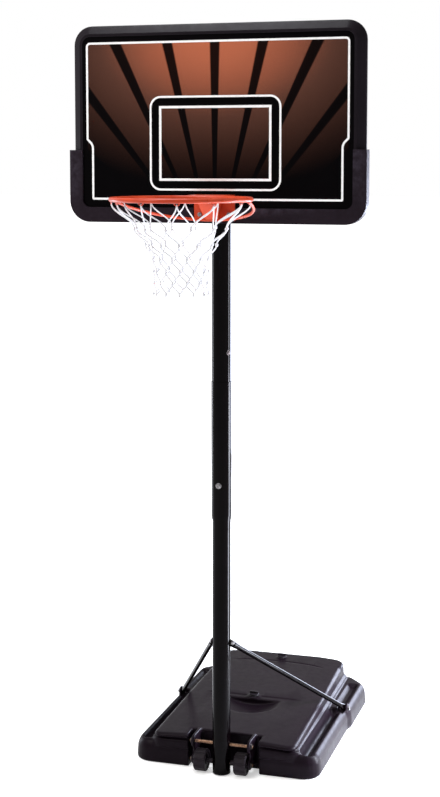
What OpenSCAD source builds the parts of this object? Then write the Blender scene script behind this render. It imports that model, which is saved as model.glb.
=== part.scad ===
// Portable basketball hoop on a ballast base, with a telescoping pole.
// Millimetres, +Z up. The origin is on the floor under the middle of the base,
// the rim points along -Y and the base lies behind the pole along +Y.

/* [Base] */
// Length of the base from the lip of its deck to its back edge
base_l = 976; // [930:1:1020]
// Width of the front part of the base
base_w = 736; // [716:1:756]
// Width of the wider rear part of the base
base_rear_w = 754; // [740:1:790]
// Height of the side rails
rail_h = 88; // [82:1:94]
// Width of the deck between the side channels
deck_w = 566; // [550:1:576]
// Height of the deck at its front edge
deck_h = 131; // [124:1:140]
// Rise of the deck from its front edge to its back edge
deck_rise = 32; // [16:1:40]
// Wall of the moulded tank
tank_wall = 4; // [3:0.5:5]
// Width of the notch that takes the pole and the wheels
notch_w = 280; // [270:1:300]
// Depth of the notch behind the lip of the deck
notch_l = 68; // [64:1:80]
// Radius of the half-moon dish in the deck
dish_r = 122; // [105:1:128]
// Depth of the bowl of the dish
dish_depth = 27; // [15:1:32]
// Distance of the centre of the dish from the lip of the deck
dish_y = 383; // [370:1:392]
// Distance of the straight far wall of the dish from the lip of the deck
dish_back = 422; // [400:1:424]
// Radius of the filling holes
plug_hole_r = 14; // [11:0.5:16]
// Distance of the front filling hole from the lip of the deck
front_plug_y = 449; // [448:1:490]
// Distance of the rear filling hole from the back of the base
rear_plug_y = 79; // [71:1:136]

/* [Wheels] */
// Radius of a transport wheel
wheel_r = 42; // [38:1:45]
// Width of a transport wheel
wheel_w = 46; // [30:1:52]
// Diameter of the wheel axle
axle_d = 12; // [10:0.5:14]
// Height of the wheel axle above the floor
axle_h = 45; // [45:0.5:50]
// Inner face of each ear plate, from the middle of the base
ear_x = 104; // [104:1:112]
// Thickness of an ear plate
ear_t = 12; // [8:1:16]

/* [Pole] */
// Distance of the pole axis ahead of the lip of the deck
pole_ahead = 8; // [0:1:20]
// Outer diameter of the lower poles
mast_d = 68.6; // [66:0.2:71]
// Wall of the lower poles
mast_wall = 2; // [1.5:0.1:2.5]
// Running gap between the lower and the upper tubes, each side
slide_gap = 0.4; // [0.3:0.05:0.6]
// Wall of the top pole and of its sleeve
upper_wall = 1.5; // [1.2:0.1:2]
// Height of the bottom end of the lower pole above the floor
pole_foot_h = 8; // [6:0.5:12]
// Height of the joint between the two lower poles
joint_h = 1040; // [1020:1:1060]
// Length of the spigot that enters the bottom pole
spigot_l = 90; // [60:1:120]
// Length of the lower poles above the ends of their slots
mast_end = 95.7; // [80:0.1:110]
// Height of the lower end of the sleeve at rest
sleeve_bottom = 985; // [970:1:995]
// Height of the upper end of the sleeve at rest
sleeve_top = 1504; // [1480:1:1540]
// Depth of the top pole inside the sleeve
sleeve_overlap = 120; // [80:1:160]
// Height of the upper end of the top pole at rest
pole_top = 2720; // [2690:1:2760]
// Diameter of the rod that holds the pole to the base
rod_d = 12.7; // [10:0.1:14]
// Height of that rod above the floor
rod_h = 116; // [112:1:122]

/* [Height adjustment] */
// Travel of the upper pole
travel = 762; // [600:1:780]
// Height of the clamping bolt at rest
lock_h = 1116; // [1105:1:1130]
// Diameter of the clamping bolt and of the other M10 bolts
bolt_d = 10; // [8:0.5:11]
// Clearance of a bolt in its hole, each side
bolt_gap = 0.3; // [0.2:0.05:0.5]

/* [Struts] */
// Diameter of a strut tube
strut_d = 19; // [16:0.5:22]
// Wall of a strut tube
strut_wall = 1.5; // [1:0.1:2]
// Thickness of the flattened strut ends
tab_t = 4; // [3:0.5:5]
// Height of the strut bolt on the pole
strut_top_h = 511; // [490:1:530]
// Height of the strut bolts on the base
strut_foot_h = 84; // [82:1:90]
// Distance of the strut bolts behind the pole axis
strut_foot_y = 590; // [575:1:600]

/* [Board] */
// Width of the board at its edge pad
board_w = 1117.6; // [1100:0.1:1130]
// Height of the bottom edge of the board at rest
board_bottom = 2091; // [2080:1:2100]
// Height of the board
board_h = 718; // [700:1:735]
// Distance of the printed face ahead of the pole axis
board_ahead = 85; // [82:1:95]
// Depth of the board frame
frame_depth = 39; // [36:0.5:40]
// Corner radius of the frame
frame_r = 70; // [60:1:80]
// Width of the bevel round the frame
bevel_w = 30; // [24:1:34]
// Width of the border between the edge of the frame and the printed panel
border_w = 40; // [37:0.5:46]
// Thickness of the printed panel
panel_t = 4; // [3:0.5:5]
// Thickness of the moulded skin behind the panel and of its ribs
skin_t = 3; // [2.5:0.1:4]
// Thickness of the edge pad
pad_t = 8.5; // [6:0.5:10]
// Width of the edge pad on the face of the board
pad_w = 50; // [44:1:54]
// Height of the edge pad up the sides of the board
pad_h = 265; // [240:1:290]

/* [Rim and net] */
// Inner diameter of the rim
rim_inner_d = 457.2; // [450:0.2:465]
// Diameter of the rim's rod
rim_rod_d = 16; // [14:0.5:18]
// Height of the ring above the bottom edge of the board
rim_above = 96; // [92:1:100]
// Distance from the printed face to the centre of the ring
rim_reach = 385; // [375:1:395]
// Width of the rim's back plate
bracket_w = 154; // [146:1:160]
// Height of the rim's back plate
bracket_h = 94; // [88:1:96]
// Thickness of the rim's plates
plate_t = 4; // [3:0.5:5]
// Diameter of the brace rod under the ring
brace_d = 10; // [8:0.5:12]
// Distance between the rim bolts across the board
rim_bolt_x = 110; // [100:1:124]
// Distance between the rim bolts up the board
rim_bolt_z = 50; // [44:1:56]
// Number of hooks and of net loops
loops = 12; // [10:2:14]
// Thickness of the net cord
cord_d = 5; // [4:0.5:6]
// Length of the net below the ring
net_l = 318; // [300:1:340]
// Diameter of the net's neck
neck_d = 184; // [170:1:200]

/* [Hidden] */
$fn = 64;

plastic = [0.13, 0.11, 0.13];
black_paint = [0.05, 0.05, 0.055];
zinc = [0.72, 0.73, 0.75];
orange = [0.84, 0.33, 0.22];
white = [0.95, 0.95, 0.95];
rubber = [0.08, 0.08, 0.08];

// Clearances shared by pieces that seat on or in one another
seat_gap = 0.3;
fit_gap = 0.15;
shaft_gap = 0.1;

// The base in plan: the lip of its deck is at -base_l / 2 and each corner carries its radius
front_y = -base_l / 2;
back_y = base_l / 2;
front_hole_y = front_y + front_plug_y;
rear_hole_y = back_y - rear_plug_y;
pole_y = front_y - pole_ahead;
corner_r = 70;
lip_over = 12;
foot_y = front_y + lip_over;
flare_y = pole_y + strut_foot_y + 10;
taper_y = back_y - 85;
tail_x = base_rear_w / 2 - 76;
foot_outline = [
    [-base_w / 2, foot_y, corner_r], [base_w / 2, foot_y, corner_r],
    [base_w / 2, flare_y - 40, 30], [base_rear_w / 2, flare_y, 30],
    [base_rear_w / 2, taper_y, 60], [tail_x, back_y, 60],
    [-tail_x, back_y, 60], [-base_rear_w / 2, taper_y, 60],
    [-base_rear_w / 2, flare_y, 30], [-base_w / 2, flare_y - 40, 30]];
// The deck ends in a lip over the front faces, and its riser stands behind a narrow ledge
deck_back = 15;
deck_tail = 12;
deck_r = 34;
lip_t = 15;
riser_set = 24;
deck_outline = deck_plan(front_y);
riser_outline = deck_plan(front_y + riser_set);
deck_slope = deck_rise / (base_l - deck_back);
ledge_h = 102;
tank_floor = 52;
// Walls of the side channels as [height, inner spread, outer spread, end spread, corner radius]
channel_floor = 58;
channel_x = deck_w / 2 + 30;
channel_walls = [
    [channel_floor, 3, 3, 0, 2.5], [channel_floor + 3, 8, 9, 8, 7], [channel_floor + 10, 14, 15, 16, 12],
    [channel_floor + 20, 18, 21, 22, 16], [channel_floor + 28, 21, 27, 26, 18],
    [channel_floor + 34, 23, 33, 29, 20], [channel_floor + 56, 27, 40, 34, 24],
    [deck_h + 30, 30, 46, 40, 26]];
// The rear channels are shallower, with a long slope up to the deck
rear_floor = 72;
rear_x = deck_w / 2 + 43;
rear_walls = [
    [rear_floor, 3, 3, 0, 2.5], [rear_floor + 2, 9, 9, 8, 7], [rear_floor + 8, 18, 16, 16, 12],
    [rear_floor + 16, 26, 25, 22, 16], [rear_floor + 32, 35, 32, 30, 20], [rear_floor + 50, 42, 36, 36, 24],
    [rear_floor + 68, 51, 40, 42, 26], [rear_floor + 82, 62, 42, 48, 28], [rear_floor + 96, 82, 44, 58, 30]];
// Ears that carry the rod and the axle, and ears for the struts
ear_round_r = 24;
axle_round_r = 20;
strut_ear_t = 10;
strut_ear_w = 40;
strut_in = 16;
strut_x = base_w / 2 - strut_in;

// Pole radii, from the lower pole outwards
mast_r = mast_d / 2;
mast_inner_r = mast_r - mast_wall;
top_inner_r = mast_r + slide_gap;
top_r = top_inner_r + upper_wall;
sleeve_inner_r = top_r + fit_gap;
sleeve_r = sleeve_inner_r + upper_wall;
bush_l = 102;
lip_h = 3;
slot_over = 1;
roll_h = 15;
bolt_r = bolt_d / 2;
bolt_hole_r = bolt_r + bolt_gap;
head_r = 0.85 * bolt_d;
head_h = 0.65 * bolt_d;
nut_h = 0.8 * bolt_d;
washer_r = 1.1 * bolt_d;
washer_t = 2;
// Slots of the lower poles, from the clamping bolt at rest to its top place
slot_low = lock_h - bolt_hole_r - slot_over;
slot_high = lock_h + travel + bolt_hole_r + slot_over;

// The board and what carries it
board_y = pole_y - board_ahead;
frame_back_y = board_y + frame_depth;
frame_w = board_w - 2 * (pad_t + seat_gap);
frame_bottom = board_bottom + pad_t + seat_gap;
frame_top = board_bottom + board_h;
frame_outline = [
    [-frame_w / 2, frame_bottom, frame_r], [frame_w / 2, frame_bottom, frame_r],
    [frame_w / 2, frame_top, frame_r], [-frame_w / 2, frame_top, frame_r]];
bevel_depth = 25;
frame_lip = 8;
rib_x = [75, 190, 305, 420];
rib_z = [59, 160, 310, 460, 610];
mount_w = 180;
mount_t = 4;
mount_gap = 0.4;
lower_mount_up = 74;
upper_mount_up = 449;
lower_mount_z = board_bottom + lower_mount_up;
upper_mount_z = board_bottom + upper_mount_up;
// The mast ends above its slots, clear of the lowest bolt through the upper pole
mast_room = 12;
mast_top = min(slot_high + mast_end, lower_mount_z - bolt_r - mast_room);
lower_mount_h = 110;
upper_mount_h = 84;
mount_ear_h = 70;
// The upper pole reaches past the bolt of the upper mount
pole_end = max(pole_top, upper_mount_z + mount_ear_h);
mount_ear_l = 22;
screw_x = 120;
screw_z = 50;
screw_r = 3;
boss_r = 11;

// The rim
rod_r = rim_rod_d / 2;
ring_r = rim_inner_d / 2 + rod_r;
ring_z = board_bottom + rim_above;
ring_y = board_y - rim_reach;
plate_bottom = board_bottom + 10;
bracket_y = board_y - seat_gap;
bracket_mid_z = plate_bottom + bracket_h / 2;
shelf_front_w = 118;
gusset_top_w = 62;
gusset_bottom_w = 35;
gusset_foot = 46;
hook_r = 9;
hook_wire_r = 2;
hook_z = ring_z - rod_r + 2;
net_rows = 6;
row_power = 0.7;
net_top = ring_z - rod_r - cord_d / sqrt(2) - 0.4;
net_bottom = ring_z - net_l;
mouth_r = ring_r;
// The loops start half a step round, clear of the ends of the brace
loop_turn = 180 / loops;

// Geometry helpers

// First two numbers of a point
function xy(p) = [p[0], p[1]];

// Vector of length one
function unit(v) = v / norm(v);

// Mean of a list of points
function mean(points) = ([for (p = points) 1] * points) / len(points);

// 1 at an outer corner of a counterclockwise outline, -1 at an inner one
function turn_sign(a, p, b) = sign((p[0] - a[0]) * (b[1] - p[1]) - (p[1] - a[1]) * (b[0] - p[0]));

// Outline of corners [x, y, radius] moved inwards by d
function inset(corners, d) = [
    for (i = [0 : len(corners) - 1])
    let (n = len(corners), a = xy(corners[(i + n - 1) % n]), p = xy(corners[i]), b = xy(corners[(i + 1) % n]),
        u = unit(a - p), v = unit(b - p), s = turn_sign(a, p, b),
        q = p + unit(u + v) * s * d / sin(acos(u * v) / 2))
    [q[0], q[1], max(corners[i][2] - s * d, 2)]];

// Points along an outline of corners [x, y, radius], with n steps round each corner
function rounded(corners, n) = [
    for (i = [0 : len(corners) - 1])
    let (m = len(corners), a = xy(corners[(i + m - 1) % m]), p = xy(corners[i]), b = xy(corners[(i + 1) % m]),
        u = unit(a - p), v = unit(b - p), angle = acos(u * v), r = corners[i][2],
        c = p + unit(u + v) * r / sin(angle / 2),
        first = p + u * r / tan(angle / 2) - c, last = p + v * r / tan(angle / 2) - c, sweep = 180 - angle)
    for (k = [0 : n])
    c + (sin((1 - k / n) * sweep) * first + sin(k / n * sweep) * last) / sin(sweep)];

// Ring of an outline at a height that rises with y from its front edge
function level(corners, d, z, slope) = [
    for (p = rounded(inset(corners, d), 6)) [p[0], p[1], z + slope * (p[1] - front_y)]];

// Plan of the deck from a place of its front edge
function deck_plan(front) = [
    [-deck_w / 2, front, deck_r], [deck_w / 2, front, deck_r],
    [deck_w / 2 - deck_tail, back_y - deck_back, 50], [-(deck_w / 2 - deck_tail), back_y - deck_back, 50]];

// Closed solid through rings of points, each counterclockwise seen from the last ring
module loft(rings) {
    n = len(rings[0]);
    m = len(rings);
    points = concat([for (r = rings) each r], [mean(rings[0])], [mean(rings[m - 1])]);
    sides = [
        for (k = [0 : m - 2], i = [0 : n - 1])
        let (a = k * n + i, b = k * n + (i + 1) % n)
        each [[a, a + n, b + n], [a, b + n, b]]];
    first_cap = [for (i = [0 : n - 1]) [m * n, i, (i + 1) % n]];
    last_cap = [for (i = [0 : n - 1]) [m * n + 1, (m - 1) * n + (i + 1) % n, (m - 1) * n + i]];
    polyhedron(points, concat(sides, first_cap, last_cap));
}

// Flat rectangle with round corners, centred on x = 0 and standing on y = low
module round_rect(w, low, high, r) {
    for (x = [-1, 1], y = [low + r, high - r]) translate([x * (w / 2 - r), y]) circle(r);
    translate([-w / 2, low + r]) square([w, high - low - 2 * r]);
    translate([-w / 2 + r, low]) square([w - 2 * r, high - low]);
}

// Extrudes an outline drawn in x and z backwards from y
module upright(y, depth) {
    translate([0, y + depth, 0]) rotate([90, 0, 0]) linear_extrude(depth) children();
}

// Cylinder along x between two places
module rod_x(r, x0, x1, y, z) {
    translate([x0, y, z]) rotate([0, 90, 0]) cylinder(r = r, h = x1 - x0);
}

// Cylinder along y between two places
module rod_y(r, y0, y1, x, z) {
    translate([x, y0, z]) rotate([-90, 0, 0]) cylinder(r = r, h = y1 - y0);
}

// Tube standing on z
module tube(r, inner_r, z0, z1) {
    translate([0, pole_y, z0]) difference() {
        cylinder(r = r, h = z1 - z0);
        translate([0, 0, -1]) cylinder(r = inner_r, h = z1 - z0 + 2);
    }
}

// Hexagonal head with its flat seat at z = 0
module hex(r, h) {
    cylinder(r = r, h = h, $fn = 6);
}

// Bolt along x: its head is outside x0 and its shank ends at x1
module bolt_x(x0, x1, y, z) {
    rod_x(bolt_r, x0, x1, y, z);
    translate([x0, y, z]) rotate([0, -90, 0]) hex(head_r, head_h);
}

// Nut on a bolt along x, with its seat at x and its body towards side
module nut_x(x, side, y, z) {
    translate([x, y, z]) rotate([0, side * 90, 0]) difference() {
        hex(head_r, nut_h);
        translate([0, 0, -1]) cylinder(r = bolt_r + shaft_gap, h = nut_h + 2);
    }
}

// Push nut on the end of a rod along x
module push_nut_x(x, side, rod_r, y, z) {
    translate([x, y, z]) rotate([0, side * 90, 0]) difference() {
        union() {
            cylinder(r = rod_r + 6, h = 2);
            cylinder(r = rod_r + 3, h = 6);
        }
        translate([0, 0, -1]) cylinder(r = rod_r + shaft_gap, h = 8);
    }
}

// The base

// Height of the deck at a distance behind its front edge
function deck_z(y) = deck_h + deck_slope * (y - front_y);

module tank_body() {
    loft([
        level(foot_outline, 8, 0, 0), level(foot_outline, 2, 3, 0), level(foot_outline, 0, 10, 0),
        level(foot_outline, 3, rail_h - 36, 0), level(foot_outline, 7, rail_h - 22, 0),
        level(foot_outline, 14, rail_h - 9, 0), level(foot_outline, 22, rail_h - 2, 0),
        level(foot_outline, 30, rail_h, 0)]);
    loft([level(riser_outline, -14, rail_h - 20, 0), level(riser_outline, -12, ledge_h - 4, 0),
        level(riser_outline, -9, ledge_h, 0), level(riser_outline, -2, ledge_h + 3, 0),
        level(riser_outline, 2, deck_h - 6, deck_slope)]);
    loft([level(deck_outline, 3, deck_h - lip_t, deck_slope),
        level(deck_outline, 0, deck_h - lip_t + 3, deck_slope),
        level(deck_outline, 1, deck_h - 9, deck_slope), level(deck_outline, 4, deck_h - 4, deck_slope),
        level(deck_outline, 9, deck_h - 1, deck_slope), level(deck_outline, 16, deck_h, deck_slope)]);
}

module tank_cavity() {
    difference() {
        union() {
            loft([level(foot_outline, tank_wall + 8, tank_wall, 0),
                level(foot_outline, tank_wall + 5, tank_floor, 0)]);
            loft([level(riser_outline, tank_wall, tank_floor - 1, 0),
                level(riser_outline, tank_wall + 2, deck_h - 40, deck_slope),
                level(riser_outline, tank_wall + 16, deck_h - 14, deck_slope),
                level(riser_outline, tank_wall + 24, deck_h - tank_wall, deck_slope)]);
        }
        dish(tank_wall);
        translate([-notch_w / 2 - tank_wall, front_y - 1, -1])
            cube([notch_w + 2 * tank_wall, notch_l + tank_wall + 1, 2 * deck_h]);
    }
}

// Shallow bowl in the deck, cut off by a straight far wall and grown by a wall
module dish(wall) {
    bowl_r = (dish_r * dish_r + dish_depth * dish_depth) / (2 * dish_depth);
    y = front_y + dish_y;
    intersection() {
        translate([0, y, deck_z(y) + bowl_r - dish_depth]) sphere(bowl_r + wall);
        translate([-2 * dish_r, front_y, 0]) cube([4 * dish_r, dish_back + wall, 2 * deck_h]);
    }
}

// Channel round a line along y from y0 to y1, with walls as [height, inner, outer, end, radius]
module channel(x, y0, y1, walls) {
    loft([for (w = walls)
        level([
            [x - w[1], y0 - w[3], w[4]], [x + w[2], y0 - w[3], w[4]],
            [x + w[2], y1 + w[3], w[4]], [x - w[1], y1 + w[3], w[4]]], 0, w[0], 0)]);
}

module side_channels() {
    strut_y = pole_y + strut_foot_y;
    channel(channel_x, foot_y + 58, strut_y - strut_ear_w / 2 - 24, channel_walls);
    channel(rear_x, strut_y + strut_ear_w / 2 + 36, taper_y - 50, rear_walls);
}

// Ear plate beside the pole, with round ends round the rod and the axle
module ear_plate(x) {
    back = front_y + notch_l + 2;
    rod_x(ear_round_r, x, x + ear_t, pole_y, rod_h);
    rod_x(axle_round_r, x, x + ear_t, pole_y, axle_h);
    low = axle_h - axle_round_r;
    translate([x, pole_y, low]) cube([ear_t, back - pole_y, rod_h + ear_round_r - low]);
}

// Upright ear on the rail for the foot of a strut
module strut_ear(side) {
    y = pole_y + strut_foot_y;
    x = side > 0 ? strut_x : -strut_x - strut_ear_t;
    root = 24;
    rod_x(strut_ear_w / 2, x, x + strut_ear_t, y, strut_foot_h);
    translate([x, y - strut_ear_w / 2, 40]) cube([strut_ear_t, strut_ear_w, strut_foot_h - 40]);
    translate([x - (side > 0 ? root : 0), y - strut_ear_w / 2, 40])
        cube([strut_ear_t + root, strut_ear_w, strut_foot_h - strut_tab_r - 44]);
}

// Room for the foot of a strut behind its ear
module strut_pocket(side) {
    depth = 30;
    reach = 36;
    x = side > 0 ? strut_x - depth : -strut_x;
    translate([x, pole_y + strut_foot_y - strut_ear_w / 2 - reach, strut_foot_h - strut_tab_r - 2])
        cube([depth, strut_ear_w + reach, 60]);
}

// Round cut on the axis of a strut's foot bolt
module strut_bore(r, x0, x1) {
    rod_x(r, x0, x1, pole_y + strut_foot_y, strut_foot_h);
}

// Raised flat seat round a filling hole
module plug_boss(y) {
    translate([0, y, deck_z(y) - 6]) cylinder(r = plug_hole_r + 7, h = 9);
}

function plug_seat_z(y) = deck_z(y) + 3;

module base_tank() {
    color(plastic) difference() {
        union() {
            difference() {
                tank_body();
                tank_cavity();
                for (side = [0, 1]) mirror([side, 0, 0]) {
                    side_channels();
                    strut_bore(head_r + 3, strut_x + strut_ear_t, strut_x + base_rear_w);
                }
                dish(0);
                translate([-notch_w / 2, front_y - 1, -1]) cube([notch_w, notch_l + 1, 2 * deck_h]);
                for (side = [-1, 1]) strut_pocket(side);
            }
            ear_plate(ear_x);
            ear_plate(-ear_x - ear_t);
            for (side = [-1, 1]) strut_ear(side);
            plug_boss(front_hole_y);
            plug_boss(rear_hole_y);
        }
        for (y = [front_hole_y, rear_hole_y])
            translate([0, y, deck_z(y) - 30]) cylinder(r = plug_hole_r, h = 60);
        rod_x(rod_d / 2 + shaft_gap, -ear_x - ear_t - 1, ear_x + ear_t + 1, pole_y, rod_h);
        rod_x(axle_d / 2 + shaft_gap, -ear_x - ear_t - 1, ear_x + ear_t + 1, pole_y, axle_h);
        for (side = [0, 1]) mirror([side, 0, 0])
            strut_bore(bolt_hole_r, strut_x - 1, strut_x + strut_ear_t + 1);
    }
}

// Plug with a grip bar, screwed into a filling hole
module plug(y) {
    seat = plug_seat_z(y) + 2.4;
    color(rubber) translate([0, y, seat]) {
        cylinder(r = plug_hole_r + 5, h = 4);
        translate([0, 0, -18]) cylinder(r = plug_hole_r - seat_gap, h = 18);
        translate([-plug_hole_r, -4, 4]) cube([2 * plug_hole_r, 8, 9]);
        for (x = [-1, 1]) translate([x * plug_hole_r, 0, 4]) cylinder(r = 4, h = 9);
    }
}

module plug_seal(y) {
    color(rubber) translate([0, y, plug_seat_z(y) + 0.2]) difference() {
        cylinder(r = plug_hole_r + 4.5, h = 2);
        translate([0, 0, -1]) cylinder(r = plug_hole_r + 0.2, h = 4);
    }
}

module front_plug() { plug(front_hole_y); }
module rear_plug() { plug(rear_hole_y); }
module front_plug_seal() { plug_seal(front_hole_y); }
module rear_plug_seal() { plug_seal(rear_hole_y); }

// Wheels and the rods through the foot of the pole

rod_end = ear_x + ear_t + 8;
wheel_x = ear_x - wheel_w - 2;

module pole_rod() {
    color(zinc) rod_x(rod_d / 2, -rod_end, rod_end, pole_y, rod_h);
}

module rod_push_nuts() {
    for (side = [-1, 1]) color(zinc)
        push_nut_x(side * (ear_x + ear_t + seat_gap), side, rod_d / 2, pole_y, rod_h);
}

module wheel_axle() {
    color(zinc) rod_x(axle_d / 2, -rod_end, rod_end, pole_y, axle_h);
}

module axle_push_nuts() {
    for (side = [-1, 1]) color(zinc)
        push_nut_x(side * (ear_x + ear_t + seat_gap), side, axle_d / 2, pole_y, axle_h);
}

// Tubes that keep the wheels off the pole
module axle_spacers() {
    for (side = [0, 1]) mirror([side, 0, 0]) color(rubber) difference() {
        rod_x(axle_d / 2 + 3, mast_r + 0.5, wheel_x - 0.5, pole_y, axle_h);
        rod_x(axle_d / 2 + shaft_gap, mast_r, wheel_x, pole_y, axle_h);
    }
}

// Lobed wheel with a dished hub, between x and x + wheel_w
module wheel(x) {
    lobes = 10;
    tread_r = 4;
    bore_r = axle_d / 2 + shaft_gap;
    hub_r = axle_d + 4;
    web_r = wheel_r - 11;
    dip = 3;
    color(rubber) translate([x, pole_y, axle_h]) rotate([0, 90, 0]) difference() {
        rotate_extrude() polygon([
            [bore_r, 0], [hub_r, 0], [hub_r, dip], [web_r, dip], [web_r, 0],
            [wheel_r - dip, 0], [wheel_r, dip], [wheel_r, wheel_w - dip], [wheel_r - dip, wheel_w],
            [web_r, wheel_w], [web_r, wheel_w - dip], [hub_r, wheel_w - dip], [hub_r, wheel_w],
            [bore_r, wheel_w]]);
        for (i = [0 : lobes - 1]) rotate(i * 360 / lobes)
            translate([wheel_r + 1, 0, -1]) cylinder(r = tread_r, h = wheel_w + 2);
    }
}

module wheel_left() { wheel(-wheel_x - wheel_w); }
module wheel_right() { wheel(wheel_x); }

// The poles

module bottom_pole() {
    color(black_paint) difference() {
        tube(mast_r, mast_inner_r, pole_foot_h, joint_h);
        rod_x(rod_d / 2 + shaft_gap, -mast_d, mast_d, pole_y, rod_h);
        rod_x(axle_d / 2 + shaft_gap, -mast_d, mast_d, pole_y, axle_h);
        rod_x(bolt_hole_r, -mast_d, mast_d, pole_y, strut_top_h);
        lock_slots();
    }
}

// Slots for the clamping bolt in the front and the back of the lower poles
module lock_slots() {
    translate([-bolt_hole_r, pole_y - mast_d, slot_low])
        cube([2 * bolt_hole_r, 2 * mast_d, slot_high - slot_low]);
}

// Upper half of the lower pole: a spigot below, and long slots for the clamping bolt
module middle_pole() {
    spigot_r = mast_inner_r - fit_gap;
    color(black_paint) difference() {
        union() {
            tube(mast_r, spigot_r - mast_wall, joint_h, mast_top);
            tube(spigot_r, spigot_r - mast_wall, joint_h - spigot_l, joint_h + 1);
        }
        lock_slots();
    }
}

// Plastic plug that closes the foot of the pole
module pole_foot() {
    color(rubber) translate([0, pole_y, 0]) {
        translate([0, 0, pole_foot_h - 4]) cylinder(r = mast_r, h = 4);
        difference() {
            translate([0, 0, pole_foot_h]) cylinder(r = mast_inner_r - fit_gap, h = 18);
            translate([0, 0, pole_foot_h + 3]) cylinder(r = mast_inner_r - 4, h = 30);
        }
    }
}

// Outer sleeve with a rolled lower end that holds the bush
module pole_sleeve() {
    color(black_paint) difference() {
        translate([0, pole_y, 0]) rotate_extrude() polygon([
            [top_inner_r, sleeve_bottom], [top_inner_r + upper_wall, sleeve_bottom],
            [sleeve_r, sleeve_bottom + roll_h], [sleeve_r, sleeve_top - 1], [sleeve_r - 0.8, sleeve_top],
            [sleeve_inner_r, sleeve_top], [sleeve_inner_r, sleeve_bottom + lip_h],
            [top_inner_r, sleeve_bottom + lip_h]]);
        rod_y(bolt_hole_r, pole_y - sleeve_r - 1, pole_y + sleeve_r + 1, 0, lock_h);
        sleeve_rivet_shanks(0.1, 5);
    }
}

module sleeve_bush() {
    seat = sleeve_bottom + lip_h;
    color(rubber) difference() {
        tube(sleeve_inner_r - fit_gap, top_inner_r, seat + 0.2, seat + bush_l);
        rod_y(bolt_hole_r, pole_y - sleeve_r, pole_y + sleeve_r, 0, lock_h);
    }
}

// Shanks of the two rivets behind the sleeve's overlap, sunk in the heads; gap and more make them cutters
module sleeve_rivet_shanks(gap, more) {
    rivet_r = 2.5;
    sunk = 1;
    for (side = [-1, 1]) translate([0, pole_y, sleeve_top - sleeve_overlap / 2]) rotate([0, 0, side * 32])
        rod_y(rivet_r + gap, top_inner_r + 0.05 - more, sleeve_r + sunk + more, 0, 0);
}

module sleeve_rivets() {
    head = 5;
    color(black_paint) {
        sleeve_rivet_shanks(0, 0);
        for (side = [-1, 1]) translate([0, pole_y, sleeve_top - sleeve_overlap / 2]) rotate([0, 0, side * 32])
            rod_y(head, sleeve_r, sleeve_r + 2, 0, 0);
    }
}

module top_pole() {
    color(black_paint) difference() {
        tube(top_r, top_inner_r, sleeve_top - sleeve_overlap, pole_end);
        for (z = [lower_mount_z, upper_mount_z]) rod_x(bolt_hole_r, -2 * top_r, 2 * top_r, pole_y, z);
        button_at() cylinder(r = button_r + 0.05, h = 3 * upper_wall, center = true);
        sleeve_rivet_shanks(0.1, 5);
    }
}

module top_cap() {
    color(rubber) translate([0, pole_y, pole_end]) {
        cylinder(r = top_r, h = 4);
        translate([0, 0, 4]) cylinder(r1 = top_r, r2 = top_r - 3, h = 3);
        translate([0, 0, -20]) cylinder(r = top_inner_r - fit_gap, h = 20);
    }
}

// Snap button in the wall of the top pole
button_r = 6;
button_up = 108;
button_turn = 60;

module button_at() {
    translate([0, pole_y, sleeve_top + button_up]) rotate([0, 0, button_turn]) translate([0, -top_r, 0])
        rotate([90, 0, 0]) children();
}

module pole_button() {
    flange_r = 9;
    dome_r = 26;
    color(zinc) button_at() {
        translate([0, 0, -upper_wall + 0.1]) cylinder(r = button_r, h = upper_wall);
        intersection() {
            translate([0, 0, 3.2 - dome_r]) sphere(dome_r);
            translate([0, 0, -0.9]) cylinder(r = button_r, h = 10);
        }
        difference() {
            cylinder(r = flange_r, h = 1.4);
            translate([0, 0, -1]) cylinder(r = button_r - 1, h = 1.2);
        }
    }
}

// Clamping bolt through the sleeve and the slots of the lower pole
lock_seat = sleeve_r + 0.1;

module height_bolt() {
    color(zinc) {
        rod_y(bolt_r, pole_y - lock_seat - nut_h - 2, pole_y + lock_seat, 0, lock_h);
        rod_y(washer_r, pole_y + lock_seat, pole_y + lock_seat + washer_t, 0, lock_h);
        translate([0, pole_y + lock_seat + washer_t, lock_h]) rotate([-90, 0, 0]) hex(head_r, head_h);
    }
}

module height_nut() {
    color(zinc) difference() {
        union() {
            rod_y(washer_r, pole_y - lock_seat - washer_t, pole_y - lock_seat, 0, lock_h);
            translate([0, pole_y - lock_seat - washer_t + 0.5, lock_h]) rotate([90, 0, 0])
                hex(head_r, nut_h - 1.5);
        }
        rod_y(bolt_r + shaft_gap, pole_y - lock_seat - 20, pole_y, 0, lock_h);
    }
}

// The struts

strut_tab_r = 13;

module strut(side) {
    y1 = pole_y + strut_foot_y;
    top = [side * (mast_r + seat_gap + tab_t / 2), pole_y, strut_top_h];
    foot = [side * (strut_x - seat_gap - tab_t / 2), y1, strut_foot_h];
    along = unit(foot - top);
    taper = 46;
    a = top + along * taper;
    b = foot - along * taper;
    color(black_paint) difference() {
        union() {
            strut_tube(a, b);
            strut_end(top, a, along);
            strut_end(foot, b, along);
        }
        for (p = [top, foot]) rod_x(bolt_hole_r, p[0] - 20, p[0] + 20, p[1], p[2]);
        strut_flat(top, side);
        strut_flat(foot, -side);
    }
}

// Turns children from +Z to a direction and moves them to a point
module aim(point, along) {
    translate(point) rotate([0, acos(along[2]), atan2(along[1], along[0])]) children();
}

module strut_tube(a, b) {
    aim(a, unit(b - a)) difference() {
        cylinder(r = strut_d / 2, h = norm(b - a));
        translate([0, 0, 12]) cylinder(r = strut_d / 2 - strut_wall, h = norm(b - a) - 24);
    }
}

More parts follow.
